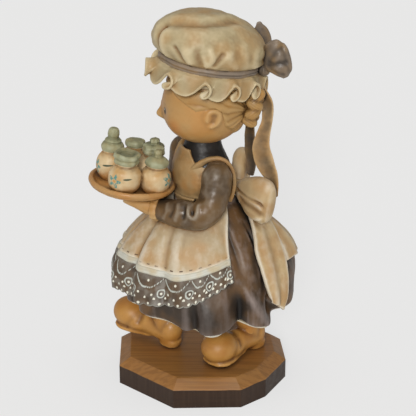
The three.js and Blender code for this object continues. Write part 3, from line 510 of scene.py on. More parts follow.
class Effects:
    """The shader node groups that several finishes share, each built once."""

    pore_scale: float = 1700.0
    petals: float = 5.0
    heart: float = 0.26

    def __init__(self) -> None:
        """Builds the groups."""
        self.stain = self.build_stain()
        self.spot = self.build_spot()
        self.flower = self.build_flower()

    def begin(self, name: str, inputs: dict[str, Socket], outputs: dict[str, Socket]) -> tuple:
        """Starts a group.

        Args:
            name: of the group.
            inputs: its input sockets.
            outputs: its output sockets.

        Returns:
            Its graph, its input sockets and its output sockets.
        """
        tree = bpy.data.node_groups.new(name, "ShaderNodeTree")
        for sockets, side in ((inputs, "INPUT"), (outputs, "OUTPUT")):
            for label, kind in sockets.items():
                tree.interface.new_socket(label, in_out=side, socket_type=kind.value)
        graph = Graph(tree)
        return graph, graph.node("NodeGroupInput").outputs, graph.node("NodeGroupOutput").inputs

    def build_stain(self) -> bpy.types.NodeTree:
        """Stain on carved wood: it pools in cuts, is rubbed thin on ridges and lies in brushed patches, and
        it darkens as painted shade where other wood shuts a point in.
        """
        colours = dict.fromkeys(("Base", "Warm", "Light", "Deep"), Socket.COLOUR)
        numbers = dict.fromkeys(("Patch", "Lift", "Sink"), Socket.NUMBER)
        graph, given, result = self.begin(
            "carved_stain",
            {**colours, **numbers, "Streak": Socket.VECTOR},
            {"Color": Socket.COLOUR, "Roughness": Socket.NUMBER, "Height": Socket.NUMBER},
        )
        source = graph.node("ShaderNodeTexCoord").outputs["Object"]
        product = graph.node("ShaderNodeVectorMath", {"operation": "MULTIPLY"})
        brushed = graph.fill(product, (source, given["Streak"]))
        patch = graph.speckle(source, given["Patch"], 1.5)
        streak = graph.speckle(brushed.outputs[0], 1.0, 3)
        pores = graph.speckle(source, self.pore_scale, 2)
        relief, contact_shade = graph.attribute("relief"), graph.attribute("contact_shade")
        colour = graph.mix(graph.ramp(patch, 0.36, 0.66), given["Base"], given["Warm"])
        # Raised places take the Light colour: rubbed paint, and partly a painted highlight.
        raised = relief + graph.ramp(streak, 0.3, 0.72, -0.16, 0.2)
        colour = graph.mix((raised * given["Lift"]).held(), colour, given["Light"])
        # Cuts take Deep as pooled stain; the shut-in measure adds painted shade where other wood closes a
        # point in.
        hollow = contact_shade * 1.3 - relief * 0.75 + graph.ramp(patch, 0.3, 0.7, 0.06, -0.1)
        pool_and_shade = (hollow * given["Sink"]).held() + graph.ramp(pores, 0.25, 0.5, 0.05, 0.0)
        graph.plug(result["Color"], graph.mix(pool_and_shade.held(), colour, given["Deep"]))
        graph.plug(result["Roughness"], graph.ramp(streak, 0.3, 0.7, 0.02, 0.16))
        graph.plug(result["Height"], streak * 0.65 + pores * 0.35)
        return graph.tree

    def build_spot(self) -> bpy.types.NodeTree:
        """Mask of an oval dab of paint round the origin of a vector."""
        inputs = {"Vector": Socket.VECTOR, "Softness": Socket.NUMBER}
        graph, given, result = self.begin("paint_spot", inputs, {"Mask": Socket.NUMBER})
        far = graph.fill(graph.node("ShaderNodeVectorMath", {"operation": "LENGTH"}), (given["Vector"],))
        inside = 1.0 - Value(graph, far.outputs["Value"])
        graph.plug(result["Mask"], (inside / given["Softness"]).held())
        return graph.tree

    def build_flower(self) -> bpy.types.NodeTree:
        """Masks of a small brushed flower about the origin of a vector, with X across and Z up."""
        masks = dict.fromkeys(("Petals", "Heart", "Leaf"), Socket.NUMBER)
        graph, given, result = self.begin("brushed_flower", {"Vector": Socket.VECTOR}, masks)
        x, depth, z = graph.split(given["Vector"])
        wobble = graph.ramp(graph.speckle(given["Vector"], 1.6), 0.3, 0.7, -0.12, 0.12)
        radius = graph.distance(x, z) + wobble
        lobes = graph.math("COSINE", graph.math("ARCTAN2", z, x) * self.petals)
        petals = ((lobes * 0.26 + 0.7 - radius) * 9.0).held()
        ring = ((radius - self.heart) * 9.0).held()
        facing = graph.ramp(abs(depth), 1.4, 1.8, 1.0, 0.0)
        dry = graph.ramp(graph.speckle(given["Vector"], 4.0), 0.36, 0.52, 0.35, 1.0)
        graph.plug(result["Petals"], petals * ring * (facing * dry))
        graph.plug(result["Heart"], ((self.heart - radius) * 12.0).held() * facing)
        leaf = graph.distance((x - 1.45) / 0.42, (z - 0.35) / 0.14)
        graph.plug(result["Leaf"], ((1.0 - leaf) * 4.0).held() * facing)
        return graph.tree


@dataclass(frozen=True)
class Finish:
    """Stained and waxed wood: a base colour, warmer patches, rubbed ridges partly painted as highlights, dark
    cuts, and painted shade where other wood shuts it in.

    Lengths are millimetres. streak is the size of one brush streak along X, Y and Z.
    """

    name: str
    base: Rgb
    warm: Rgb
    light: Rgb
    deep: Rgb
    patch: float = 7.0
    lift: float = 0.55
    pool_and_shade: float = 0.85
    streak: Point = (1.0, 1.0, 9.0)
    gloss: float = 0.36
    bump: float = 0.25
    bump_height: float = 0.12

    def material(self, effects: Effects) -> bpy.types.Material:
        """The material of this finish, built on its first use."""
        found = bpy.data.materials.get(self.name)
        if found:
            return found
        made = bpy.data.materials.new(self.name)
        made.use_nodes = True
        made.node_tree.nodes.clear()
        graph = Graph(made.node_tree)
        stain = graph.group(
            effects.stain,
            Base=linear(self.base),
            Warm=linear(self.warm),
            Light=linear(self.light),
            Deep=linear(self.deep),
            Patch=1 / (self.patch * MM),
            Lift=self.lift,
            Sink=self.pool_and_shade,
            Streak=tuple(1 / (size * MM) for size in self.streak),
        )
        high = self.bump_height * MM
        bump = graph.node("ShaderNodeBump", Strength=self.bump, Distance=high, Height=stain["Height"])
        shader = graph.node(
            "ShaderNodeBsdfPrincipled",
            IOR=1.45,
            Base_Color=self.painted(graph, effects, stain["Color"]),
            Roughness=graph.math("ADD", stain["Roughness"], self.gloss),
            Normal=bump.outputs[0],
        )
        graph.plug(graph.node("ShaderNodeOutputMaterial").inputs[0], shader.outputs[0])
        return made

    def painted(self, graph: Graph, effects: Effects, colour: Plug) -> Plug:
        """What is painted over the stain; nothing here."""
        return colour


@dataclass(frozen=True)
class BaseFinish(Finish):
    """The block: long grain along Y, and a near black wall below the chamfer."""

    grain: Rgb = (92, 61, 34)
    wall: Rgb = (30, 16, 10)
    worn: Rgb = (54, 40, 32)
    chamfer: float = 7.7

    def painted(self, graph: Graph, effects: Effects, colour: Plug) -> Plug:
        """Adds the growth lines and the dark wall."""
        lines = graph.ramp(graph.speckle(graph.place(scale=(0.0011, 0.03, 0.0016)), 1.0, 4), 0.44, 0.6)
        colour = graph.mix(lines * 0.3, colour, linear(self.grain))
        wander = graph.ramp(graph.speckle(graph.place(), 120.0, 1), 0.3, 0.7, -0.08, 0.08)
        wall = graph.ramp(graph.height() + wander, self.chamfer - 0.16, self.chamfer + 0.1, 1.0, 0.0)
        streaks = graph.speckle(graph.place(scale=(0.0012, 0.0012, 0.02)), 1.0, 3)
        streaks = graph.ramp(streaks, 0.35, 0.7, 0.0, 0.5)
        return graph.mix(wall * 0.94, colour, graph.mix(streaks, linear(self.wall), linear(self.worn)))


@dataclass(frozen=True)
class StitchedFinish(Finish):
    """The apron cloth: small dark painted stitches above its hem, on the piece's UV map."""

    stitches: float = 27.0
    line: float = 0.925
    thread: Rgb = (74, 48, 28)

    def painted(self, graph: Graph, effects: Effects, colour: Plug) -> Plug:
        """Adds the row of stitches, some strong and some faint."""
        across, down = graph.shares()
        dash = graph.ramp(abs(graph.math("FRACT", across * self.stitches) - 0.5), 0.15, 0.2, 1.0, 0.0)
        row = graph.ramp(abs(down - self.line), 0.007, 0.012, 1.0, 0.0)
        brushed = graph.node("ShaderNodeCombineXYZ", X=across * 11.0).outputs[0]
        strength = graph.ramp(graph.speckle(brushed, 1.0, 1), 0.4, 0.6, 0.3, 1.0)
        return graph.mix(dash * row * strength, colour, linear(self.thread))


@dataclass(frozen=True)
class LaceFinish(Finish):
    """Painted lace on the piece's UV map: rings with a dot, swags and rows of dots along the scallops.

    One motif takes one unit of U. Lengths are units of 10 mm, heights shares of the lace from the ring down.
    """

    white: Rgb = (190, 196, 188)
    dots: Rgb = (222, 221, 206)
    dust: Rgb = (146, 144, 136)
    ring_at: float = 0.57
    ring: float = 0.15
    stroke: float = 0.024
    heart: float = 0.05
    dots_beside: tuple = ((0.5, -0.34, 0.05), (-0.5, -0.34, 0.05), (0.27, 0.02, 0.045), (-0.27, 0.06, 0.05))
    dots_in_rows: tuple = ((0.0, 0.34, 0.054), (0.5, 0.2, 0.045))
    dots_in_motif: float = 3.0

    def painted(self, graph: Graph, effects: Effects, colour: Plug) -> Plug:
        """Adds the lace pattern."""
        across, down = graph.shares()
        pitch, fall = graph.attribute("pitch"), graph.attribute("fall")
        shake = graph.speckle(graph.place(), 300.0, 1)
        centred = graph.math("FRACT", across) - 0.5
        x = centred * pitch + graph.ramp(shake, 0.3, 0.7, -0.015, 0.015)
        below = (down - self.ring_at) * fall
        far = graph.distance(x, below + graph.ramp(shake, 0.3, 0.7, 0.012, -0.012))
        rise = 1.0 - abs(centred) * 2.0
        on_swag = (down - (0.44 - rise * rise * 0.4)) * (fall * 0.75)
        beads = self.line(graph, graph.math("FRACT", x * 11.0) - 0.5, 0.3)
        drawn = graph.math("GREATER_THAN", centred, 0.04) + graph.math("LESS_THAN", centred, -0.04) * beads
        swag = self.line(graph, on_swag, self.stroke) * drawn.held()
        lines = graph.math("MAXIMUM", self.line(graph, far - self.ring, self.stroke), swag)
        dots = self.dot(graph, far, self.heart)
        marks = [((centred - at) * pitch, low, size) for at, low, size in self.dots_beside]
        for shift, low, size in self.dots_in_rows:
            beat = graph.math("FRACT", across * self.dots_in_motif + shift)
            marks.append(((beat - 0.5) * (pitch / self.dots_in_motif), low, size))
        for beside, low, size in marks:
            mark = self.dot(graph, graph.distance(beside, below - fall * low), size)
            dots = graph.math("MAXIMUM", dots, mark)
        dry = graph.ramp(graph.speckle(graph.place(), 2300.0), 0.3, 0.5, 0.5, 0.92)
        haze = graph.ramp(graph.speckle(graph.place(), 300.0), 0.42, 0.72, 0.0, 0.4)
        colour = graph.mix(haze, colour, linear(self.dust))
        colour = graph.mix(lines * dry, colour, linear(self.white))
        colour = graph.mix(graph.ramp(down, 0.965, 0.99) * 0.5, colour, linear(self.white))
        return graph.mix(dots, colour, linear(self.dots))

    def line(self, graph: Graph, value: Value, half: float) -> Value:
        """Mask of a line where a value passes zero."""
        return graph.ramp(abs(value), half * 0.7, half * 1.3, 1.0, 0.0)

    def dot(self, graph: Graph, far: Value, size: float) -> Value:
        """Mask of a dot from the distance to its middle."""
        return graph.ramp(far, size * 0.75, size * 1.15, 1.0, 0.0)


@dataclass(frozen=True)
class Dab:
    """An oval dab of paint on a carved surface."""

    at: Point
    half: Point
    colour: Rgb
    softness: float
    strength: float = 1.0
    turn: float = 0.0


@dataclass(frozen=True)
class DabbedFinish(Finish):
    """Stained wood with oval dabs of paint on it, such as eyes, lips, a blush, a painted glint or a patch of
    painted shade.
    """

    dabs: tuple[Dab, ...] = ()

    def painted(self, graph: Graph, effects: Effects, colour: Plug) -> Plug:
        """Adds the dabs in their order."""
        for dab in self.dabs:
            location = tuple(c * MM for c in dab.at)
            scale = tuple(c * MM for c in dab.half)
            vector = graph.place(location, (0, 0, math.radians(dab.turn)), scale)
            mask = graph.group(effects.spot, Vector=vector, Softness=dab.softness)["Mask"]
            colour = graph.mix(graph.math("MULTIPLY", mask, dab.strength), colour, linear(dab.colour))
        return colour


@dataclass(frozen=True)
class JarFinish(Finish):
    """A jar: cream above, stained at the foot, with one small flower on its belly."""

    foot: float = 0.0
    foot_fade: float = 5.5
    foot_stain: Rgb = (176, 122, 62)
    flower: Point = (0, 0, 0)
    flower_size: float = 3.0
    facing: float = 0.0
    paints: tuple = (
        ("Petals", 1.0, (84, 140, 134)),
        ("Heart", 0.8, (196, 140, 72)),
        ("Leaf", 1.0, (70, 78, 56)),
    )

    def painted(self, graph: Graph, effects: Effects, colour: Plug) -> Plug:
        """Adds the stain at the foot and the flower."""
        wander = graph.ramp(graph.speckle(graph.place(), 300.0), 0.3, 0.7, -0.8, 0.8)
        low = graph.ramp(graph.height() + wander, self.foot, self.foot + self.foot_fade, 0.85, 0.0)
        colour = graph.mix(low, colour, linear(self.foot_stain))
        turn = (0, 0, math.radians(self.facing + 90))
        vector = graph.place(tuple(c * MM for c in self.flower), turn, (self.flower_size * MM,) * 3)
        flower = graph.group(effects.flower, Vector=vector)
        for mask, strength, paint in self.paints:
            colour = graph.mix(graph.math("MULTIPLY", flower[mask], strength), colour, linear(paint))
        return colour


# Where the pieces are shaped into finished objects


@dataclass
class Workshop:
    """The bench where shapes become finished pieces of the figurine."""

    effects: Effects
    pieces: list[bpy.types.Object] = field(default_factory=list)
    knife_marks: tuple = ((0.34, 1.0), (0.9, 0.5))
    relief_reach: float = 2.0
    relief_full: float = 0.3
    relief_rounds: tuple = (6, 90)
    contact_reach: float = 4.0
    contact_start: float = 0.12

    def finish(
        self,
        name: str,
        shape: Shape,
        finish: Finish,
        slot: str,
        strokes: Sequence[Stroke] = (),
        tooling: float = 0.05,
    ) -> bpy.types.Object:
        """Carves, marks, scales and dresses a shape.

        Args:
            name: of the piece, which is the name of its CAD node and the ending _carved.
            shape: closed, in millimetres; it is used up.
            finish: its stain.
            slot: the record's slot of that stain; not used.
            strokes: gouge strokes carved into it.
            tooling: height of the small uneven marks that the knife leaves.

        Returns:
            The finished object.
        """
        mesh = bpy.data.meshes.new(name)
        shape.to_mesh(mesh)
        shape.free()
        self.carve(mesh, strokes, tooling)
        self.mark_relief(mesh)
        mesh.transform(Matrix.Scale(MM, 4))
        mesh.shade_smooth()
        mesh.materials.append(finish.material(self.effects))
        piece = bpy.data.objects.new(name, mesh)
        bpy.context.scene.collection.objects.link(piece)
        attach(piece, "root")
        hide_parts(name.removesuffix("_carved"))
        self.pieces.append(piece)
        log.info("%s: %d faces", name, len(mesh.polygons))
        return piece

    def read(self, rows: bpy.types.bpy_prop_collection, name: str) -> Array:
        """One vector of each row of a mesh."""
        values = np.zeros(len(rows) * 3, np.float32)
        rows.foreach_get(name, values)
        return values.reshape(-1, 3).astype(float)

    def surface(self, mesh: bpy.types.Mesh) -> tuple[Array, Array]:
        """The places and the normals of a mesh's vertices."""
        return self.read(mesh.vertices, "co"), self.read(mesh.vertex_normals, "vector")

    def write(self, mesh: bpy.types.Mesh, name: str, values: Array) -> None:
        """Keeps one number for each vertex under a name."""
        made = mesh.attributes.new(name, "FLOAT", "POINT")
        made.data.foreach_set("value", values.astype(np.float32))

    def carve(self, mesh: bpy.types.Mesh, strokes: Sequence[Stroke], tooling: float) -> None:
        """Cuts the strokes and the knife marks into a mesh."""
        places, normals = self.surface(mesh)
        depth = sum((stroke.relief(places) for stroke in strokes), np.zeros(len(places)))
        marks = np.zeros(len(places))
        for scale, share in self.knife_marks:
            marks += share * np.array([noise.noise(Vector(p) * scale) for p in places.tolist()])
        places += normals * (depth + tooling * marks)[:, None]
        mesh.vertices.foreach_set("co", places.astype(np.float32).ravel())
        mesh.update()

    def mark_relief(self, mesh: bpy.types.Mesh) -> None:
        """Keeps how far each point stands out of its surroundings, from -1 in a cut to 1 on a ridge."""
        places, normals = self.surface(mesh)
        edges = np.zeros(len(mesh.edges) * 2, np.int32)
        mesh.edges.foreach_get("vertices", edges)
        first, second = edges[0::2], edges[1::2]
        count = len(places)
        spacing = np.linalg.norm(places[first] - places[second], axis=1).mean()
        rounds = int(np.clip((self.relief_reach / spacing) ** 2, *self.relief_rounds))
        valence = np.maximum(np.bincount(edges, minlength=count), 1)
        soft = places.copy()
        for _ in range(rounds):
            total = [
                np.bincount(first, soft[second, axis], count) + np.bincount(second, soft[first, axis], count)
                for axis in range(3)
            ]
            soft = (soft + np.stack(total, axis=1) / valence[:, None]) / 2
        out = ((places - soft) * normals).sum(axis=1)
        self.write(mesh, "relief", np.clip((out - np.median(out)) / self.relief_full, -1, 1))

    def paint_contact_shade(self) -> None:
        """Keeps how closely each point is shut in by wood around it, which the stain darkens as painted
        shade.
        """
        vertices, faces, start = [], [], 0
        for piece in self.pieces:
            vertices += self.read(piece.data.vertices, "co").tolist()
            faces += [[start + i for i in face.vertices] for face in piece.data.polygons]
            start += len(piece.data.vertices)
        tree = BVHTree.FromPolygons(vertices, faces)
        limit = self.contact_reach * MM
        ring = [(math.cos(TURN * k / 5), math.sin(TURN * k / 5)) for k in range(5)]
        for piece in self.pieces:
            places, normals = self.surface(piece.data)
            helper = np.where(np.abs(normals[:, 2:3]) < 0.8, np.array([[0.0, 0, 1]]), np.array([[1.0, 0, 0]]))
            side = np.cross(normals, helper)
            side /= np.linalg.norm(side, axis=1)[:, None]
            other = np.cross(normals, side)
            rays = [normals] + [0.62 * normals + 0.78 * (c * side + s * other) for c, s in ring]
            starts = (places + normals * self.contact_start * MM).tolist()
            shut = np.zeros(len(places))
            for directions in rays:
                hits = [tree.ray_cast(at, to, limit)[3] for at, to in zip(starts, directions.tolist())]
                shut += np.array([0.0 if hit is None else 1 - hit / limit for hit in hits])
            self.write(piece.data, "contact_shade", np.clip(shut / len(rays) * 1.3, 0, 1))


# The sub-assemblies


class Palette:
    """Every finish of the figurine."""

    base = BaseFinish(
        "stained_block", (154, 109, 58), (156, 108, 56), (176, 138, 100), (70, 44, 26), 14.0, 0.3, 0.7,
        (2, 12, 2), 0.27, 0.08,
    )
    dowel = Finish("dowel_wood", (196, 168, 122), (188, 154, 104), (212, 188, 148), (140, 108, 66), 4.0)
    shoe = Finish(
        "honey_shoe", (184, 134, 68), (170, 116, 52), (208, 166, 104), (92, 54, 22), 8.0, 0.45, 0.9,
        (6, 6, 6), 0.34, 0.1,
    )
    # The dress's light colour on raised folds is partly rubbed paint and partly a painted sheen; its dark dab
    # low on the near side of the skirt is painted shade below the apron's lace.
    dress = DabbedFinish(
        "dark_dress", (66, 54, 43), (100, 73, 45), (146, 132, 126), (20, 16, 13), 9.0, 0.9, 1.3,
        (1.6, 1.6, 16), 0.36, 0.12, dabs=(Dab((29, 1, 38), (13, 16, 12), (36, 27, 19), 0.9, 0.85),),
    )
    # The sleeves' lighter base and grey colour on raised folds stand partly for a painted sheen on the dress
    # paint.
    sleeve = replace(
        dress, name="dark_sleeve", dabs=(), base=(88, 71, 52), warm=(106, 80, 48), light=(160, 150, 134),
        streak=(3, 3, 6), lift=0.6, pool_and_shade=1.0, gloss=0.3,
    )
    collar = replace(
        dress, name="dark_collar", dabs=(), base=(16, 12, 10), warm=(26, 20, 16), light=(48, 42, 37),
        streak=(4, 4, 4),
    )
    cream = Finish(
        "cream_rim", (198, 194, 180), (192, 178, 148), (218, 216, 206), (120, 104, 80), 6.0, 0.4, 0.7,
        (5, 5, 5), 0.42, 0.12,
    )
    apron = StitchedFinish(
        "pale_apron", (183, 163, 130), (180, 146, 102), (216, 208, 190), (118, 86, 50), 9.0, 0.9, 1.1,
        (2, 2, 18), 0.4, 0.12,
    )
    bow = Finish(
        "pale_bow", (194, 170, 130), apron.warm, apron.light, apron.deep, 8.0, 0.7, 0.95, (3, 3, 8), 0.4,
        0.12,
    )
    lace = LaceFinish(
        "lace_paint", (80, 65, 51), (96, 76, 56), (122, 114, 104), (34, 28, 22), 6.0, 0.45, 0.9, (4, 4, 4),
        0.4, 0.12,
    )
    pinafore = Finish(
        "tan_pinafore", (160, 130, 87), (168, 124, 72), (186, 160, 118), (78, 54, 32), 6.0, 0.45, 0.9,
        (2, 2, 5), 0.42,
    )
    hand = Finish(
        "warm_hand", (184, 150, 102), (182, 136, 78), (206, 174, 126), (98, 66, 34), 7.0, 0.4, 0.85,
        (5, 5, 5), 0.38, 0.12,
    )
    face = DabbedFinish(
        "doll_face", (184, 144, 90), (188, 138, 78), (206, 172, 120), (104, 72, 40), 9.0, 0.4, 0.8,
        (6, 6, 6), 0.33, 0.12,
    )
    hair = Finish(
        "brushed_hair", (166, 130, 78), (168, 124, 66), (192, 158, 106), (92, 64, 32), 7.0, 0.55, 0.9,
        (5, 5, 5), 0.38, 0.12,
    )
    bonnet = Finish(
        "cream_bonnet", (176, 160, 124), (172, 142, 98), (212, 196, 160), (124, 90, 50), 9.0, 0.7, 0.95,
        (6, 6, 6), 0.4, 0.12,
    )
    ribbon = Finish(
        "grey_ribbon", (112, 98, 83), (134, 108, 74), (152, 138, 124), (44, 39, 36), 6.0, 0.55, 0.9,
        (2, 2, 8), 0.36, 0.14,
    )
    tail = replace(
        ribbon, name="tan_ribbon", base=(192, 162, 120), warm=(182, 144, 96), light=(208, 186, 150),
        deep=(60, 48, 34),
    )
    band = replace(
        cream, name="cream_band", base=(199, 199, 188), light=(214, 218, 210), lift=0.15, pool_and_shade=0.25,
    )
    tray = Finish(
        "honey_tray", (176, 135, 84), (178, 124, 64), (208, 168, 114), (96, 64, 32), 8.0, 0.45, 0.85,
        (5, 5, 2), 0.32, 0.12,
    )
    jar = JarFinish(
        "cream_jar", (203, 178, 137), (190, 150, 96), (226, 208, 172), (104, 72, 40), 5.0, 0.5, 0.95,
        (2.5, 2.5, 4),
    )
    cover = Finish(
        "green_cover", (146, 146, 114), (152, 144, 106), (176, 180, 152), (82, 86, 64), 4.0, 0.6, 0.8,
        (3, 3, 3), 0.44, 0.2,
    )


@dataclass
class Block:
    """The base: a hand-cut block with a chamfer, and the dowels hidden in it."""

    height: float = 11.0
    chamfer: float = 3.2
    inset: float = 4.6
    soft: float = 0.3
    corners: tuple = (
        (29.7, -10.8), (29, 15.2), (20.8, 24.9), (5, 33.4), (-12, 32), (-27, 17), (-29, -12), (-14, -33),
        (10, -32.5),
    )

    def build(self, shop: Workshop) -> None:
        """Cuts the block and stains it, and stains the hidden dowels."""
        corners = np.array(self.corners, float)
        top, wall, soft = self.height, self.height - self.chamfer, self.soft
        bevel = soft * 0.6
        run = self.inset / self.chamfer * bevel
        rows = np.array(
            [
                (0, 0, 0, 0),
                (0.12, 0, 0, 1 - soft / 30),
                (0.15, 0, 0, 1),
                (0.17, soft, 0, 1),
                (0.38, wall - soft, 0, 1),
                (0.4, wall, 0.06, 1),
                (0.42, wall + bevel, run, 1),
                (0.62, top - bevel, self.inset - run, 1),
                (0.64, top, self.inset + 0.1, 1),
                (0.66, top, self.inset + soft, 1),
                (1, top, self.inset + soft, 0),
            ]
        )
        steps, heights, insets, shares = rows.T

        def surface(u: Array, v: Array) -> Array:
            """Places on the block from the shares round it and over it."""
            place = u * len(corners)
            side = np.minimum(place.astype(int), len(corners) - 1)
            along = ((1 - np.cos(np.pi * (place - side))) / 2)[:, None]
            inset = np.interp(v, steps, insets)[:, None]
            ends = [corners[side], np.roll(corners, -1, 0)[side]]
            ends = [end * (1 - inset / np.linalg.norm(end, axis=1)[:, None]) for end in ends]
            flat = mixed(*ends, along) * np.interp(v, steps, shares)[:, None]
            return np.column_stack([flat, np.interp(v, steps, heights)])

        shape = skin(24 * len(corners), 160, surface)
        shop.finish("base_carved", shape, Palette.base, "stained_base", tooling=0.0)
        for name in ("base_dowel_left", "base_dowel_right", "neck_dowel"):
            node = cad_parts[name]
            for index in range(len(node.material_slots)):
                node.material_slots[index].material = Palette.dowel.material(shop.effects)


@dataclass
class Shoe:
    """One round-toed shoe with its welt, heel and arch, and the leg above it."""

    side: str
    heel: Point
    heading: float
    pitch: float
    hip: Point
    floor: float = Block.height + 0.02

    def placed(self, points: Array) -> Array:
        """Points of the shoe's own frame, X towards the toe, in the part's frame."""
        return turned_about_z(tilted_about_y(points, self.pitch), self.heading) + np.array(self.heel)

    def build(self, shop: Workshop) -> None:
        """Shapes the shoe from its masses, cuts the welt and the crease, and adds the leg."""
        wide = (0, 1, 0)
        sole = [(12, 0, 1.8, 8.6, 2.8), (17, 0, 1.6, 11.6, 3.0), (21, 0, 1.6, 13.0, 3.0)]
        masses = [
            ball((20.6, 0, 6.9), (7.5, 7.0, 6.2)),
            ball((16.5, 0, 5.6), (8.5, 6.2, 5.2)),
            ball((1.2, 0, 6.2), (4.7, 4.7, 6.0)),
            rod([(1.5, 0, 5.0, 9.2, 9.0), (9, 0, 5.6, 9.6, 9.4), (16, 0, 6.0, 11.4, 10)], wide, 40, 40),
            rod([(3.5, 0, 5, 8.6, 8.6), (4.6, 0, 11, 9.0, 8.8), (5.6, 0, 16, 8.2, 8.2)], wide, 40, 30),
            rod(sole, wide, 48, 40, 5.8, 0.8),
            rod([(13, 0, 2.2, 8, 2.2), (6, 0, 2.9, 7.4, 2.2), (1, 0, 2.6, 8, 2.4)], wide, 40, 30, 3.0, 0.8),
            rod([(0.9, 0, 0.2, 7.6, 8.2), (0.9, 0, 3, 8.4, 9.2)], wide, 40, 20, 0.6, 0.8),
        ]
        shape = held_above(joined(masses, 0.4, 7), 0.0)
        angles = np.linspace(-2.3, 2.3, 24)
        toe = [(20.4 + 8.0 * math.cos(a), 7.4 * math.sin(a), 2.9) for a in angles]
        near, far = [(3, -4.9, 4.0), (10, -5.0, 3.8)], [(10, 5.0, 3.8), (3, 4.9, 4.0)]
        welt = [*near, *toe, *far, (-3.6, 0, 4.0), near[0]]
        bend = [(13.4, 5.6, 7), (13.2, 3.6, 10.4), (13, 0, 11.4), (13.2, -3.6, 10.4), (13.4, -5.6, 7)]
        cuts = ((welt, 0.4, -0.2), (bend, 1.4, -0.7), ([(14, 0, 2), (8, 0, 1)], 3, -0.5))
        strokes = [
            Stroke([tuple(p) for p in self.placed(np.array(path, float))], width, depth)
            for path, width, depth in cuts
        ]
        held_above(moved(shape, self.placed), self.floor)
        name = f"shoe_{self.side}_carved"
        shop.finish(name, shape, Palette.shoe, "painted_shoe", strokes=strokes, tooling=0.03)
        ankle = self.placed(np.array([[5.0, 0, 9.0]]))[0]
        path = [(*ankle, 8.4, 8.4), (*mixed(ankle, np.array(self.hip), 0.5), 8.2, 8.2), (*self.hip, 8, 8)]
        shape = rod(path, (1, 0, 0), 40, 40)
        shop.finish(f"leg_{self.side}_carved", shape, Palette.shoe, "painted_shoe", tooling=0.05)


@dataclass(frozen=True)
class Fold:
    """A fold that runs down the bell: a groove below zero, a ridge above, leaning sideways by its lean."""

    top: float
    bottom: float
    depth: float
    width: float
    start: float = 0.1
    full: float = 0.75
    lean: float = 0.0
    gone: float = 9.0


def folds(*rows: Sequence[float]) -> tuple[Fold, ...]:
    """Folds from rows of their values."""
    return tuple(Fold(*row) for row in rows)


@dataclass(frozen=True)
class Bell:
    """The skirt's bell: angle is 0 at the near side and -90 in front, drop 0 at the waist, 1 at the hem."""

    waist: float = 76.0
    hem: float = 33.2
    waist_half: tuple = (10.0, 10.6)
    hem_half: tuple = (31.6, 36.0)
    side_power: float = 1.7
    front_power: float = 2.4
    lift: tuple = (3.4, 6.0)
    tuck: tuple = (5.0, 1.6)
    centre_y: float = 1.4

    def point(
        self, angle: Array, drop: Array, outward: Array | float = 0.0, folds: Sequence[Fold] = ()
    ) -> Array:
        """Places on the bell.

        Args:
            angle: in degrees.
            drop: from the waist down.
            outward: distance out of the bell.
            folds: carved into it.

        Returns:
            One place for each angle and drop.
        """
        drop = np.asarray(drop, float)
        inside = np.clip(drop, 0, 1)
        radius_x = mixed(self.waist_half[0], self.hem_half[0], 1 - (1 - inside) ** self.side_power)
        radius_y = mixed(self.waist_half[1], self.hem_half[1], 1 - (1 - inside) ** self.front_power)
        turn = np.radians(angle)
        around = np.hypot(radius_x * np.cos(turn), radius_y * np.sin(turn))
        push, slide = np.zeros_like(around), np.zeros_like(around)
        for fold in folds:
            middle = mixed(fold.top, fold.bottom, inside)
            arc = np.radians((angle - middle + 180) % 360 - 180) * around
            width = fold.width * mixed(0.7, 1.0, inside)
            rise = smoothstep(fold.start, fold.full, inside)
            shape = np.exp(-((arc / width) ** 2)) * (rise * (1 - smoothstep(fold.full, fold.gone, inside)))
            push += fold.depth * shape
            slide += fold.lean * shape
        turn = turn + slide / np.maximum(around, 1)
        front, back = np.maximum(0, -np.sin(turn)) ** 2, np.maximum(0, np.sin(turn)) ** 2
        tuck = (self.tuck[0] * front + self.tuck[1] * back) * smoothstep(0.62, 1, drop)
        wave = 0.6 * inside**1.3 * np.cos(9 * turn + 0.6 * np.sin(2 * turn + 1))
        reach = outward - tuck + push + wave
        low = self.hem + self.lift[0] * front + self.lift[1] * back**3
        low = low - 0.32 * push * smoothstep(0.5, 1, inside)
        return np.column_stack(
            [
                (radius_x + reach) * np.cos(turn),
                self.centre_y + (radius_y + reach) * np.sin(turn),
                mixed(self.waist, low, drop),
            ]
        )


DRESS_FOLDS = folds(
    (-34, -30, -3.4, 9.0, 0.6, 0.95), (-14, -11, 0.9, 2.0, 0.66, 0.9),
    (-10, -7.5, -2.6, 2.2, 0.62, 0.95, 0.6), (4, 4, 1.0, 5.0, 0.55, 0.95),
    (12, 12, 0.8, 2.4, 0.45, 0.75, 0.0, 0.96), (20, 22.5, -5.5, 3.6, 0.5, 0.98, 1.6),
    (24, 26, -1.2, 1.3, 0.05, 0.25, 0.0, 0.62), (-4, 43, 1.8, 3.6, 0.4, 0.85, -0.8),
    (33, 31, 0.7, 2.4, 0.15, 0.4, 0.0, 0.8), (52, 33, -0.9, 1.1, 0.1, 0.3, 0.0, 0.9),
    (42, 52, -7.5, 4.4, 0.64, 0.9, -0.8, 1.07), (70, 68, 1.3, 4.6, 0.3, 0.9),
    (84, 88, -2.2, 3.0, 0.3, 0.8, -0.9, 1.3), (98, 99, 1.4, 4.4, 0.3, 0.9),
    (113, 114, -3.0, 3.4, 0.25, 0.95, 0.9), (130, 131, 1.5, 4.6, 0.3, 0.9),
    (146, 148, -3.2, 3.6, 0.3, 0.95, -1.0), (163, 164, 1.3, 4.4, 0.3, 0.9),
    (180, 179, -2.8, 3.4, 0.3, 0.95, 0.9), (-164, -163, 1.2, 4.4, 0.4, 0.9),
    (-147, -147, -3.2, 3.6, 0.5, 1.0, 0.9), (-122, -122, -2.4, 4.6, 0.6, 1.0),
    (-84, -84, -2.8, 4.6, 0.6, 1.0), (-60, -60, -1.8, 3.6, 0.62, 1.0),
)

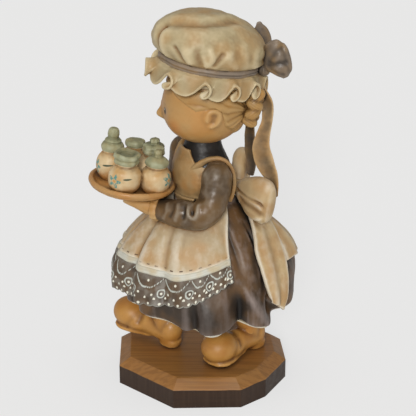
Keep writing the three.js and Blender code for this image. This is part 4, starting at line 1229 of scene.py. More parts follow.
APRON_FOLDS = folds(
    (-64, -48, -2.1, 2.9, 0.02, 0.36, 0.6), (-55, -38, 1.0, 3.2, 0.05, 0.4),
    (-36, -20, -1.2, 2.3, 0.0, 0.32), (-28, -8, 1.0, 3.0, 0.05, 0.4),
    (-20, -14, -0.25, 1.0, 0.15, 0.3, 0.0, 0.6), (19, 15, -0.8, 2.2, 0.02, 0.3),
    (30, 17, 0.5, 1.8, 0.0, 0.2), (-86, -78, -1.5, 2.8, 0.02, 0.45, -0.5), (-78, -70, 0.8, 3.0, 0.05, 0.45),
    (-104, -102, -1.6, 2.8, 0.02, 0.45, 0.5), (-114, -112, 0.8, 3.0, 0.05, 0.45),
    (-128, -126, -1.3, 2.5, 0.02, 0.45), (-142, -141, 0.7, 2.6, 0.02, 0.45),
)


@dataclass
class Skirt:
    """The dress skirt and the pale rim of the petticoat below it."""

    bell: Bell
    below: float = 1.1

    def build(self, shop: Workshop) -> None:
        """Shapes the bell with its folds, closed above and hollowed below, and the rim."""

        def dress(u: Array, v: Array) -> Array:
            """Places on the skirt, over its outside and back up the inside."""
            drop = np.interp(v, [0, 0.03, 0.8, 0.84, 0.92, 1], [0, 0, 1, 1, 0.82, 0.8])
            inward = np.interp(v, [0, 0.03, 0.8, 0.82, 0.84, 0.92, 1], [0, 0, 0, -0.5, -1.2, -1.4, -1.4])
            fold = self.bell.point(u * 360 - 180, drop, inward, DRESS_FOLDS)
            centre = np.array([0, self.bell.centre_y])
            share = np.interp(v, [0, 0.03, 0.92, 1], [0, 1, 1, 0])[:, None]
            return np.column_stack([mixed(centre, fold[:, :2], share), fold[:, 2]])

        shop.finish("dress_skirt_carved", skin(500, 180, dress), Palette.dress, "painted_dress", tooling=0.06)

        wider = [
            replace(fold, width=fold.width + 1.2, depth=fold.depth * 1.12, lean=0) if fold.depth < 0 else fold
            for fold in DRESS_FOLDS
        ]

        def rim(u: Array, w: Array) -> Array:
            """Places on the petticoat's rim."""
            tall = self.bell.waist - self.bell.hem
            drop = 1 + np.interp(w, [0, 0.55, 0.75, 1], [-6.0, -0.3, 0.35, self.below]) / tall
            outward = np.interp(w, [0, 0.55, 0.75, 1], [-2.6, -2.4, -1.7, -0.55])
            return self.bell.point(u * 360 - 180, drop, outward, wider)

        shape = plate(500, 30, rim, 0.9, 7.0, True)
        shop.finish("petticoat_carved", shape, Palette.cream, "painted_cream", tooling=0.07)


@dataclass
class Apron:
    """The apron over the front of the skirt: cloth, white hem band and painted lace."""

    bell: Bell
    far_edge: float = -150.0
    near_edge: float = 18.0
    near_flare: float = 26.0
    hem_line: tuple = (
        0.384, 0.414, 0.464, 0.489, 0.494, 0.484, 0.486, 0.489, 0.489, 0.499, 0.474, 0.42, 0.378,
    )
    lace_line: tuple = (0.55, 0.62, 0.70, 0.77, 0.83, 0.86, 0.84, 0.83, 0.8, 0.775, 0.73, 0.645, 0.55)

    def angle(self, share: Array, drop: Array) -> Array:
        """Angle of a share of the width, with a near edge that curves back at the waist."""
        near = self.near_edge + self.near_flare * np.exp(-np.asarray(drop) / 0.12)
        return mixed(self.far_edge, near, share)

    def hem(self, share: Array) -> Array:
        """Drop of the hem line, which rises towards both side edges."""
        return through([[drop] for drop in self.hem_line], share)[:, 0]

    def foot(self, share: Array) -> Array:
        """Drop of the lower edge of the lace."""
        return through([[drop] for drop in self.lace_line], share)[:, 0]

    def strip(self, start: Callable, stop: Callable, outward: Callable) -> Surface:
        """Surface of a strip of the apron between two drops.

        Args:
            start: drop of its upper edge from the share across.
            stop: drop of its lower edge.
            outward: distance out of the bell from both shares.

        Returns:
            The surface.
        """

        def surface(u: Array, w: Array) -> Array:
            """Places on the strip."""
            drop = mixed(start(u), stop(u), w)
            return self.bell.point(self.angle(u, drop), drop, outward(u, w), APRON_FOLDS)

        return surface

    def build(self, shop: Workshop) -> None:
        """Makes the cloth, the band and the lace with its scallops."""
        cloth = self.strip(lambda u: 0 * u + 0.005, lambda u: self.hem(u) + 0.02, lambda u, w: 1.1 + 0.35 * w)
        shape = plate(300, 90, cloth, 1.3, 24.0)
        shop.finish("apron_skirt_carved", shape, Palette.apron, "painted_apron", tooling=0.07)
        band = self.strip(self.hem, lambda u: self.hem(u) + 0.056, lambda u, w: 1.75 + 0 * w)
        shape = plate(300, 12, band, 1.5, 2.4)
        shop.finish("apron_hem_band_carved", shape, Palette.band, "painted_cream", tooling=0.08)
        self.build_lace(shop)

    def build_lace(self, shop: Workshop) -> None:
        """Makes the lace, with the width of a motif and of the lace kept on it in units of 10 mm."""
        rings = [-150, -135, -120, -104, -88, -72, -56.5, -47, -27.5, -9, 2.5, 16.5, 30]
        known = [(ring - self.far_edge) / (self.near_edge - self.far_edge) for ring in rings]

        def motif(u: Array) -> Array:
            """How many motifs lie before a share of the width."""
            return np.interp(u, known, np.arange(len(known)) + 0.5)

        def lower(u: Array) -> Array:
            """Drop of the scalloped edge."""
            return self.foot(u) - 0.012 + 0.016 * np.abs(np.sin(math.pi * 3 * motif(u)))

        def stand(u: Array, w: Array) -> Array:
            """Distance out of the bell, growing in waves towards the edge."""
            flounce = 0.4 * np.cos(TURN * 8 * u + 1.2) + 0.2 * np.cos(TURN * 17 * u)
            return 1.25 + w**1.4 * (1.7 + flounce)

        surface = self.strip(lambda u: self.hem(u) + 0.046, lower, stand)
        shape = plate(620, 60, surface, 1.0, 10.0)
        layer = shape.loops.layers.uv.active
        pitch, fall = (shape.verts.layers.float.new(name) for name in ("pitch", "fall"))
        share = np.linspace(0, 1, 400)
        step = np.linalg.norm(np.diff(surface(share, 0 * share + 0.6), axis=0), axis=1)
        down = np.linalg.norm(surface(share, 0 * share + 1) - surface(share, 0 * share), axis=1)
        rate = np.convolve(step / np.maximum(np.diff(motif(share)), 1e-6), np.ones(41) / 41, "same")
        for face in shape.faces:
            for loop in face.loops:
                across, along = loop[layer].uv
                loop.vert[pitch] = float(np.interp(across, share[20:379], rate[20:379])) / 10
                loop.vert[fall] = float(np.interp(across, share, down)) / 10
                loop[layer].uv = (float(motif(across)), along)
        shop.finish("apron_lace_carved", shape, Palette.lace, "painted_lace", tooling=0.05)


@dataclass
class Torso:
    """The bodice, the dark yoke, the bib, the straps and the waistband, turned a little to the near side."""

    turn: float = 25.0
    centre_y: float = 0.6
    rings: tuple = (
        (76.2, 9.6, 9.2), (80.0, 10.4, 9.8), (85.0, 11.6, 10.4), (90.0, 11.2, 10.0), (94.0, 9.6, 8.4),
        (97.0, 7.6, 7.2), (101.0, 6.3, 6.3),
    )
    left_strap: tuple = (
        (9.0, -4.8, 87.6, 2.0, 2.6), (9.9, -2.8, 91.0, 2.1, 2.8), (11.0, 0.2, 93.9, 2.1, 2.4),
        (11.8, 3.8, 95.7, 2.1, 2.0), (12.1, 7.6, 95.7, 2.1, 1.8), (12.1, 10.6, 93.2, 2.0, 1.7),
        (11.7, 12.1, 88.6, 1.9, 1.7), (10.6, 12.0, 83, 1.9, 1.7), (9.4, 10.8, 78.4, 1.9, 1.7),
    )
    bib_edge: tuple = ((79, 104), (88, 104), (90.8, 100), (91.8, 68), (93, 47), (95, 36), (97.4, 27))
    bib_far: float = 80.0

    def at(self, angle: Array, height: Array, outward: Array | float = 0.0) -> Array:
        """Places on the body at an angle in degrees and a height."""
        rings = np.array(self.rings)
        place = np.interp(height, rings[:, 0], np.linspace(0, 1, len(rings)))
        row = through(rings, place)
        turn = np.radians(angle)
        flat = np.column_stack(
            [
                (row[:, 1] + outward) * np.cos(turn),
                (row[:, 2] + outward) * np.sin(turn),
                np.asarray(height, float),
            ]
        )
        return turned_about_z(flat, self.turn) + np.array([0, self.centre_y, 0])

    def tube(self, low: float, high: float) -> Shape:
        """Closed stretch of the body between two heights."""

        def surface(u: Array, v: Array) -> Array:
            """Places on the tube."""
            place = self.at(u * 360, np.interp(v, [0, 0.1, 0.9, 1], [low, low, high, high]))
            share = np.interp(v, [0, 0.1, 0.9, 1], [0, 1, 1, 0])[:, None]
            return np.column_stack([mixed(np.array([0, self.centre_y]), place[:, :2], share), place[:, 2]])

        return skin(120, 80, surface)

    def build(self, shop: Workshop) -> None:
        """Shapes the body's pieces."""
        fibres = [
            Stroke([self.spot(angle, 80 + 2 * (k % 3)), self.spot(angle + 1, 86 + 3 * (k % 2))], 0.35, -0.3)
            for k, angle in enumerate(range(-112, -86, 4))
        ]
        shape = self.tube(76.2, 90.2)
        shop.finish("pinafore_bodice_carved", shape, Palette.pinafore, "painted_pinafore", strokes=fibres)
        shape = self.tube(90.1, 101.0)
        shop.finish("dress_yoke_carved", shape, Palette.collar, "painted_dress", tooling=0.12)
        heights, spreads = np.transpose(self.bib_edge)

        def bib(u: Array, w: Array) -> Array:
            """Places on the bib."""
            height = mixed(heights[-1], 79.4, w)
            spread = np.interp(height, heights, spreads)
            return self.at(-90 + mixed(-np.minimum(spread, self.bib_far), spread, u), height, 0.75)

        shape = plate(150, 90, bib, 1.2, 20.0)
        shop.finish("pinafore_bib_carved", shape, Palette.pinafore, "painted_pinafore", tooling=0.1)
        centre = [0, self.centre_y, 0]
        own = turned_about_z(np.array(self.left_strap)[:, :3] - centre, -self.turn) * [-1, 1, 1]
        flat = turned_about_z(own, self.turn) + centre
        right = [(*place, width, depth) for place, (_, _, _, width, depth) in zip(flat, self.left_strap)]
        for side, path in (("left", self.left_strap), ("right", right)):
            shape = rod(path, (1, 0.2, 0.1), 36, 130, 0.6, 0.75)
            name = f"pinafore_strap_{side}_carved"
            shop.finish(name, shape, Palette.pinafore, "painted_pinafore", tooling=0.08)
        shape = plate(160, 12, lambda u, w: self.at(u * 360, mixed(79.3, 76.3, w), 0.9), 1.2, 3.0, True)
        shop.finish("apron_waistband_carved", shape, Palette.pinafore, "painted_apron", tooling=0.06)

    def spot(self, angle: float, height: float) -> Point:
        """One place on the body."""
        return tuple(self.at(np.array([angle - self.turn]), np.array([height]))[0])


@dataclass
class Arm:
    """A puffed sleeve, a rolled cuff and a hand that holds the tray from below.

    path is rows of x, y, z and radius.
    """

    side: str
    path: tuple
    cuff: Point
    heading: float
    creases: tuple = ()
    cuff_radius: float = 4.9
    cuff_length: float = 3.2
    hand_rise: float = 3.9
    hand_length: float = 13.5
    fingers: tuple = ((-3.1, 11.6), (-1.05, 12.8), (1.05, 13.0), (3.1, 12.0))

    def build(self, shop: Workshop) -> None:
        """Shapes the sleeve, the cuff and the hand."""
        rows = [(x, y, z, 2 * radius, 2 * radius) for x, y, z, radius in self.path]
        shape = rod(rows, (1, 0, 0), 72, 150, 1.2)
        name = f"sleeve_{self.side}_carved"
        shop.finish(name, shape, Palette.sleeve, "painted_dress", strokes=self.creases, tooling=0.1)
        half, radius = self.cuff_length / 2, self.cuff_radius
        profile = [
            (0, -half),
            (radius - 1.2, -half),
            (radius - 0.2, -0.75 * half),
            (radius + 0.05, 0),
            (radius - 0.2, 0.75 * half),
            (radius - 1.2, half),
            (0, half),
        ]

        def placed(points: Array) -> Array:
            """The cuff's points gathered, laid along the arm and moved to its end."""
            lying = swollen(points, ((0.022, 11, 0), (0.015, 5, 1)))[:, [2, 0, 1]]
            return turned_about_z(lying, self.heading) + np.array(self.cuff)

        shape = moved(turned(profile, 90, 50), placed)
        shop.finish(f"cuff_{self.side}_carved", shape, Palette.hand, "painted_skin", tooling=0.08)
        self.build_hand(shop)

    def build_hand(self, shop: Workshop) -> None:
        """Shapes the palm and four fingers that reach on below the tray."""

        def spot(reach: float, across: float, up: float) -> Point:
            """A place in the hand's own frame, X towards the fingertips."""
            rise = self.hand_rise * reach / self.hand_length
            flat = turned_about_z(np.array([[reach, across, up + rise]]), self.heading)[0]
            return tuple(flat + np.array(self.cuff))

        along = math.radians(self.heading)
        wide = (-math.sin(along), math.cos(along), 0)
        palm = [
            (*spot(-1, 0, 0), 7.4, 7.0),
            (*spot(3, 0, 0), 8.6, 7.0),
            (*spot(6.5, 0, -0.2), 8.8, 5.6),
            (*spot(9.0, 0, -0.6), 8.0, 4.4),
        ]
        parts = [rod(palm, wide, 40, 40, 1.0, 0.9)]
        for across, length in self.fingers:
            finger = [
                (*spot(6.5, across * 0.95, -0.5), 2.3, 3.0),
                (*spot(9.5, across, -0.7), 2.2, 2.7),
                (*spot(length, across * 0.96, -1.0), 1.9, 2.1),
            ]
            parts.append(rod(finger, wide, 24, 24, 0.7))
        shape = joined(parts, 0.3, 3)
        shop.finish(f"hand_{self.side}_carved", shape, Palette.hand, "painted_skin", tooling=0.06)


class Cover(Enum):
    """Kinds of jar cover: rows of radius, as a share of the rim's, and height, and how crumpled it is."""

    STEPPED = (
        (
            (0.86, 2.3), (0.74, 2.7), (0.70, 3.1), (0.72, 3.5), (0.58, 4.1), (0.48, 4.5), (0.47, 5.0),
            (0.50, 5.8), (0.47, 7.2), (0.30, 8.2), (0, 8.4),
        ),
        0.01,
    )
    CONE = (((0.84, 2.2), (0.62, 2.9), (0.42, 3.3), (0.36, 3.8), (0.35, 4.9), (0.24, 5.7), (0, 6)), 0.02)
    CLOTH = (((0.96, 2.4), (0.8, 3.1), (0.52, 3.5), (0.42, 3.9), (0.44, 4.7), (0.28, 5.4), (0, 5.6)), 0.055)
    DISC = (((0.86, 1.9), (0.6, 2.1), (0.3, 2.15), (0, 2.2)), 0.03)
    OPEN = (((1.05, 2.1), (1.08, 2.9), (1.0, 3.6), (0.84, 3.75), (0.66, 3.2), (0.5, 2.6), (0, 2.4)), 0.028)


@dataclass(frozen=True)
class Jar:
    """One covered jar on the tray; flower is the direction that its flower looks in."""

    number: int
    at: tuple[float, float]
    belly: float
    height: float
    cover: Cover
    flower: float


@dataclass
class Tray:
    """The round tray with its jars, tilted up a little at its front.

    dish is rows of radius, as a share of the tray's and millimetres more, and height. jar_wall is rows of
    shares of a jar's belly and height, and cover_rim goes below the rows of every cover.
    """

    centre: Point = (4, -26.2, 83.6)
    tilt: float = -6.0
    radius: float = 16.6
    dish: tuple = (
        (0, 0, -3), (0.5, 0, -3), (0.66, 0, -2.9), (0.84, 0, -2.1), (0.93, 0, -1.35), (1, -0.55, -0.85),
        (1, -0.5, -0.55), (1, -0.1, -0.15), (1, 0, 0.5), (1, -0.25, 1.15), (1, -0.9, 1.5), (1, -1.7, 1.3),
        (1, -2.3, 0.6), (1, -3.2, 0.12), (1, -4.5, 0.02), (0.5, 0, 0), (0, 0, 0),
    )
    jar_wall: tuple = (
        (0, 0), (0.6, 0), (0.72, 0.04), (0.93, 0.22), (1, 0.47), (0.93, 0.7), (0.72, 0.87), (0.63, 0.94),
        (0.63, 1), (0, 1),
    )
    cover_rim: tuple = ((0, -0.5), (0.8, -0.5), (0.97, 0.1), (1, 0.8), (0.97, 1.5))
    jars: tuple = (
        Jar(1, (-3.2, -8.6), 5.8, 11, Cover.STEPPED, -62),
        Jar(2, (9.4, -2.6), 6.2, 11, Cover.OPEN, -38),
        Jar(3, (7.2, 8.6), 5.8, 10.4, Cover.CONE, 62),
        Jar(4, (-2.6, 7), 5.6, 11.4, Cover.CLOTH, 150),
        Jar(5, (-9.4, -0.4), 4.8, 11, Cover.DISC, 205),
    )

    def placed(self, points: Array) -> Array:
        """Points of the tray's own frame in the part's frame."""
        return tilted_about_x(points, self.tilt) + np.array(self.centre)

    def build(self, shop: Workshop) -> None:
        """Turns the tray, and the jars with their covers."""
        profile = [(share * self.radius + more, height) for share, more, height in self.dish]
        shape = turned(profile, 150, 110)
        shop.finish("tray_carved", moved(shape, self.placed), Palette.tray, "stained_tray", tooling=0.1)
        for jar in self.jars:
            self.build_jar(shop, jar)

    def build_jar(self, shop: Workshop, jar: Jar) -> None:
        """Turns one jar, leaves it a little uneven, and sets its cover on it."""
        b, h = jar.belly, jar.height
        profile = [(share * b, level * h) for share, level in self.jar_wall]
        lobes = ((0.026, 2, jar.number), (0.6 * 0.026, 3, 2 * jar.number))
        place = np.array([*jar.at, 0.1])
        shape = moved(turned(profile, 84, 60), lambda p: self.placed(swollen(p, lobes) + place))
        middle = self.placed(np.array([[*jar.at, 0.5 * h]]))[0]
        turn = math.radians(jar.flower)
        spot = middle + 0.97 * b * np.array([math.cos(turn), math.sin(turn), 0])
        finish = replace(
            Palette.jar,
            name=f"cream_jar_{jar.number}",
            foot=float(middle[2] - 0.5 * h - 0.5),
            flower=tuple(float(c) for c in spot),
            facing=jar.flower,
        )
        shop.finish(f"jar_{jar.number}_carved", shape, finish, "painted_jar", tooling=0.14)
        self.build_cover(shop, jar)

    def build_cover(self, shop: Workshop, jar: Jar) -> None:
        """Turns one cover and crumples it a little."""
        radius = 0.64 * jar.belly + 0.7
        rows, crumple = jar.cover.value
        shape = turned([(share * radius, height) for share, height in self.cover_rim + rows], 84, 90)
        lobes = ((crumple, 7, jar.number), (0.7 * crumple, 4, 2.3 * jar.number))
        place = np.array([*jar.at, jar.height + 0.45])

        def crumpled(points: Array) -> Array:
            """The cover's points crumpled and set on the jar."""
            angle = np.arctan2(points[:, 1], points[:, 0])
            rise = np.cos(3 * angle + jar.number) * smoothstep(1.0, 3.0, points[:, 2])
            points = swollen(points, lobes)
            points[:, 2] += 6 * crumple * rise * np.hypot(points[:, 0], points[:, 1]) / radius
            return self.placed(points + place)

        name = f"jar_cover_{jar.number}_carved"
        shop.finish(name, moved(shape, crumpled), Palette.cover, "painted_cover", tooling=0.12 + 3 * crumple)


@dataclass
class Head:
    """The head with a calm doll's face, its brushed-back hair and the plaited knot behind."""

    centre: Point = (0, 1.2, 114.2)
    half: Point = (15.2, 16.2, 15.6)
    cheek: Point = (0.60, -0.66, -0.45)
    brow: Point = (0, -0.97, 0.22)
    middle_cuts: tuple = (
        (((0, -0.2, -3.6),), 1.55, 1.5),
        (((0, 0.2, -5),), 1.5, 1.6),
        (((0, 0.3, -0.5), (0, 0.1, -3.4)), 1.5, 0.35),
        (((-2.2, 1.6, -8.65), (0, 1.1, -8.6), (2.2, 1.6, -8.65)), 0.32, -0.4),
        (((0, 2.6, -12.2),), 2.3, 0.9),
        (((0, 2, -10.6), (1.5, 2.2, -10.6)), 0.9, -0.35),
    )
    side_cuts: tuple = (
        (((1.5, 0.5, -5.3),), 0.9, 0.5),
        (((5.6, 2.2, -1.6),), 2.6, -0.55),
        (((0.7, 0.7, -8), (1.9, 1.3, -8)), 0.75, 0.5),
        (((0.5, 1.2, -9.3), (1.2, 1.4, -9.3)), 0.75, 0.55),
        (((2.8, 2, -8.7),), 0.8, -0.35),
    )
    hair_top: float = 44.0
    hairline: tuple = (
        (0, 60), (34, 62), (48.6, 71), (64, 80), (79, 88), (92, 86), (104, 86), (112, 93), (121, 116),
        (150, 137), (180, 141),
    )
    plait_at: Point = (6.6, 17.5, 112.5)
    plait_middle: Point = (6.8, 19.2, 113.6)
    plait_lobes: tuple = (
        ((1.4, 1.4, 5.6), (2.6, 3.4, 2.4), 38), ((-1.4, 1.0, 4.2), (2.4, 3.2, 2.4), -34),
        ((1.8, 0.4, 2.4), (2.7, 3.6, 2.5), -34), ((-1.4, 0.4, 0.8), (2.5, 3.2, 2.4), 34),
        ((1.7, -0.4, -1.0), (2.6, 3.6, 2.5), 36), ((-1.2, -0.4, -2.8), (2.3, 3.0, 2.4), -34),
        ((1.2, -1.4, -4.2), (2.3, 3.2, 2.3), -30),
    )

    def skull(self, direction: Array, outward: Array | float = 0.0) -> Array:
        """Places on the head in directions from its centre, full at the cheeks and narrower at the brow."""
        cheek = 0.0
        for side in (1, -1):
            near = direction @ (np.array(self.cheek) * [side, 1, 1])
            cheek = cheek + np.exp((near - 1) * 2 / 0.42**2)
        brow = -0.5 * np.exp((direction @ np.array(self.brow) - 1) * 2 / 0.4**2)
        reach = (np.asarray(outward) + cheek + brow)[:, None]
        return direction * (np.array(self.half) + reach) + np.array(self.centre)

    def build(self, shop: Workshop) -> None:
        """Shapes the face, the hair and the plait."""
        _, cy, cz = self.centre
        front = cy - self.half[1]
        shape = bmesh.new()
        bmesh.ops.create_icosphere(shape, subdivisions=7, radius=1)
        moved(shape, self.skull)
        middle = np.array([0, front, cz])
        strokes = [
            Stroke([tuple(middle + np.array(point) * [side, 1, 1]) for point in path], width, depth)
            for side, cuts in ((1, self.middle_cuts), (1, self.side_cuts), (-1, self.side_cuts))
            for path, width, depth in cuts
        ]
        strokes += self.ear(1) + self.ear(-1)
        dabs = []
        for side in (1, -1):
            eye = (5.7 * side, front + 1.95, cz - 1.7)
            above = (eye[0], eye[1] - 0.1, eye[2] + 2.9)
            dabs += [
                Dab((10.2 * side, front + 5.2, cz - 6.6), (4.6, 4.6, 4.2), (196, 118, 78), 0.9, 0.32),
                Dab(eye, (1.25, 2.5, 1.75), (112, 76, 42), 0.3, 0.6),
                Dab(eye, (0.98, 2.3, 1.42), (22, 18, 17), 0.16, 0.96),
                # The small near-white dab in each eye is a painted glint.
                Dab((eye[0] - 0.3, eye[1], eye[2] + 0.55), (0.3, 2.3, 0.34), (236, 232, 222), 0.3, 0.95),
                Dab(above, (1.9, 2.2, 0.34), (124, 88, 50), 0.9, 0.4, -14 * side),
            ]
        dabs.append(Dab((0, front + 1.2, cz - 8.65), (2.3, 2.2, 1.15), (178, 52, 40), 0.45, 0.85))
        face = replace(Palette.face, dabs=tuple(dabs))
        shop.finish("head_carved", shape, face, "painted_skin", strokes=strokes, tooling=0.05)
        self.build_hair(shop)
        self.build_plait(shop)

    def ear(self, side: int) -> list[Stroke]:
        """Strokes of one ear: the shell, its bowl and the lobe."""
        x, y, z = 14.9 * side, 4.4, self.centre[2] - 1.9
        rim = [
            (x + 0.3 * side, y - 2.3, z + 0.4),
            (x + 0.2 * side, y - 1.8, z + 2.4),
            (x, y + 0.2, z + 3.3),
            (x - 0.2 * side, y + 2.2, z + 2.4),
            (x - 0.3 * side, y + 2.6, z + 0.2),
            (x - 0.3 * side, y + 1.6, z - 2.0),
            (x, y - 0.4, z - 3.3),
        ]
        return [
            Stroke(curve(rim, 24), 1.0, 0.8),
            Stroke([(x, y + 0.1, z)], 2.6, 0.4),
            Stroke([(x, y + 0.3, z + 0.9), (x, y - 0.1, z - 0.8)], 1.1, -0.6),
            Stroke([(x, y - 0.8, z - 3.2)], 0.95, 0.55),
            Stroke([(x, y - 2.2, z - 0.8)], 0.7, 0.5),
        ]

    def build_hair(self, shop: Workshop) -> None:
        """Lays the hair over the skull in strands that all run to the plait."""
        from_front, ends = np.transpose(self.hairline)

        def surface(u: Array, v: Array) -> Array:
            """Places on the hair, over its outside and back along the skull."""
            turn = np.radians(u * 360 - 90)
            end = np.interp(np.abs((u * 360 + 180) % 360 - 180), from_front, ends)
            share = np.interp(v, [0, 0.04, 0.5, 0.96, 1], [0, 0, 1, 0, 0])
            polar = np.radians(mixed(self.hair_top, end, share))
            flat = np.sin(polar)
            direction = np.column_stack([flat * np.cos(turn), flat * np.sin(turn), np.cos(polar)])
            away = self.skull(direction) - np.array(self.plait_at)
            strand = np.arctan2(away[:, 2] + 0.25 * away[:, 1], away[:, 1] - 0.9 * np.abs(away[:, 0]))
            far = np.linalg.norm(away, axis=1)
            ridges = np.sqrt(np.abs(np.sin(strand * 15 + 0.5 * np.sin(far * 0.4))))
            groups = 0.5 + 0.5 * np.sin(strand * 9 + 0.5)
            raised = -0.25 + smoothstep(0, 0.16, 1 - share) * (0.5 + 0.5 * ridges + 0.4 * groups)
            return self.skull(direction, np.where(v < 0.5, raised, -0.9))

        shape = skin(380, 150, surface)
        shop.finish("hair_carved", shape, Palette.hair, "painted_hair", tooling=0.05)

    def build_plait(self, shop: Workshop) -> None:
        """Makes the plaited knot from lobes that cross each other."""
        x, y, _ = self.plait_middle
        parts, strands = [], []
        for at, (deep, long, wide), lean in self.plait_lobes:
            middle = np.array(self.plait_middle) + at

            def placed(points: Array) -> Array:
                """Points of the lobe leaned and moved to their place."""
                return tilted_about_x(points, lean) + middle

            parts.append(moved(ball((0, 0, 0), (deep, long, wide)), placed))
            side = deep if at[0] > 0 else -deep
            for k in (-1, 0, 1):
                ends = [(0.75 * side, share * long, 0.85 * k) for share in (-0.8, 0.8)]
                line = [ends[0], (side, 0, 0.95 * k), ends[1]]
                strands.append(Stroke(curve([tuple(p) for p in placed(np.array(line))], 8), 0.3, -0.24))
        stem = [(3.5, 13.5, 114, 6, 7), (5.4, 16.5, 112.6, 5, 6), (x, y, 112, 4, 5)]
        parts.append(rod(stem, (0, 0, 1), 32, 32))
        shape = joined(parts, 0.32, 4)
        shop.finish("hair_plait_carved", shape, Palette.hair, "painted_hair", strokes=strands, tooling=0.05)


@dataclass
class Bonnet:
    """The puffed bonnet with its ribbon band and scrolled frill, in its own tilted frame."""

    centre: Point = (0, 3, 130.5)
    tilt: float = -8.5
    side_share: float = 0.93
    crests: tuple = (-2.9, 26.5, 53.6, 84, 120, 158, 196, 236, 275, 317.3, 357.1)
    rim_radius: float = 21.0
    wave_length: float = 13.2
    front_angle: float = 272.0
    front_spread: float = 24.0

    def placed(self, points: Array) -> Array:
        """Points of the bonnet's own frame in the part's frame."""
        return tilted_about_x(points, self.tilt) + np.array(self.centre)

    def oval(self, radius: Array, angle: Array, height: Array) -> Array:
        """Places round the bonnet, a little narrower from side to side, angle in radians."""
        return np.column_stack([radius * self.side_share * np.cos(angle), radius * np.sin(angle), height])

    def build(self, shop: Workshop) -> None:
        """Shapes the crown with its puffs, the band and the frill."""
        profile = [
            (-7.5, 0.0), (-7.5, 13.6), (-4.5, 15.4), (-1.0, 16.4), (1.0, 16.8), (1.8, 19.0), (3.6, 21.3),
            (7.5, 22.0), (11, 20.4), (14.2, 16.8), (16.4, 11.6), (17.7, 5.4), (18.1, 0.0),
        ]

        def crown(u: Array, v: Array) -> Array:
            """Places on the puffed crown."""
            row = through(profile, np.interp(v, [0, 0.2, 0.42, 1], [0, 0.33, 0.46, 1]))
            height, radius = row[:, 0], np.maximum(row[:, 1], 0)
            angle = u * TURN
            up = smoothstep(1.5, 3.2, height)
            gather = 0.35 * np.cos(13 * angle + 0.6 * np.sin(3 * angle)) + 0.3 * np.cos(8 * angle + 1.0)
            gather = up * (1 - smoothstep(3.0, 9.0, height)) * gather
            soft = up * (0.35 * np.cos(5 * angle + 0.7) + 0.3 * np.cos(3 * angle + 2.2)) * radius / 22
            point = self.oval(radius + gather * (radius > 1) + soft, angle, height)
            point[:, 1] -= 1.4 * smoothstep(1.8, 18.1, height)
            point[:, 1] -= 1.6 * smoothstep(1.8, 5.6, height) * np.maximum(0, np.sin(angle))
            return self.placed(point)

        shape, name = skin(300, 190, crown), "bonnet_crown_carved"
        shop.finish(name, shape, Palette.bonnet, "painted_bonnet", strokes=self.dents(), tooling=0.16)

        def band(u: Array, w: Array) -> Array:
            """Places on the ribbon band."""
            angle = u * TURN
            wave = 0.25 * np.cos(7 * angle) + 0.15 * np.cos(13 * angle + 1)
            height = mixed(1.55, -1.5, w) + 0.4 * wave
            return self.placed(self.oval(17.9 + 0.12 * np.cos(9 * angle), angle, height))

        shape = plate(260, 14, band, 2.2, 3.0, True)
        shop.finish("bonnet_band_carved", shape, Palette.ribbon, "painted_ribbon", tooling=0.12)

        share = self.wave_rows()

        def frill(u: Array, w: Array) -> Array:
            """Places on the frill."""
            beat = u * (len(self.crests) - 1)
            wave = np.minimum(beat.astype(int), len(self.crests) - 2)
            angles = np.radians(self.crests)
            width = (angles[wave + 1] - angles[wave]) * self.rim_radius
            row = share(beat - wave)
            from_front = (self.crests[0] + u * 360 - self.front_angle + 180) % 360 - 180
            front = np.exp(-((from_front / self.front_spread) ** 2))
            swing = w**1.25 * (1 + 0.35 * front)
            flat = np.interp(w, [0, 0.2, 0.45, 0.75, 1], [17.8, 19.2, 20.2, 21.0, 21.6])
            fall = np.interp(w, [0, 0.2, 0.45, 0.75, 1], [-1.1, -2.1, -3.6, -5.0, -6.2])
            along = mixed((beat - wave) * width, row[:, 0] / self.wave_length * width, w**2)
            out = row[:, 1] * w + front * w * (0.9 + 0.9 * np.cos(TURN * (beat - wave)))
            angle = angles[wave] + along / self.rim_radius
            return self.placed(self.oval(flat + out, angle, fall + swing * row[:, 2]))

        shape = plate(1080, 40, frill, 0.95, 10.0, True)
        shop.finish("bonnet_frill_carved", shape, Palette.bonnet, "painted_bonnet", tooling=0.05)

    def wave_rows(self) -> Callable[[Array], Array]:
        """One breaking wave of the frill's rim, from crest to crest.

        Returns:
            A function of the share along the wave that gives millimetres along, outward and up.
        """
        rows = np.array(
            [
                (0.0, 0.5, 2.9), (2.1, 1.0, 2.3), (2.8, 1.3, 0.3), (1.7, 1.3, -1.8), (-0.4, 1.0, -2.5),
                (-1.6, 0.4, -1.4), (-0.8, -0.4, -0.9), (1.4, -0.7, -1.9), (4.0, -0.5, -3.0),
                (7.2, -0.2, -3.1), (9.6, 0.0, -1.6), (11.5, 0.2, 0.9),
            ]
        )
        before, after = rows - [self.wave_length, 0, 0], rows + [self.wave_length, 0, 0]
        longer = np.vstack([before[-2:], rows, after[:3]])
        last = len(longer) - 1

        def wave(share: Array) -> Array:
            """The row of the wave at each share along it."""
            return through(longer, (2 + share * len(rows)) / last)

        return wave

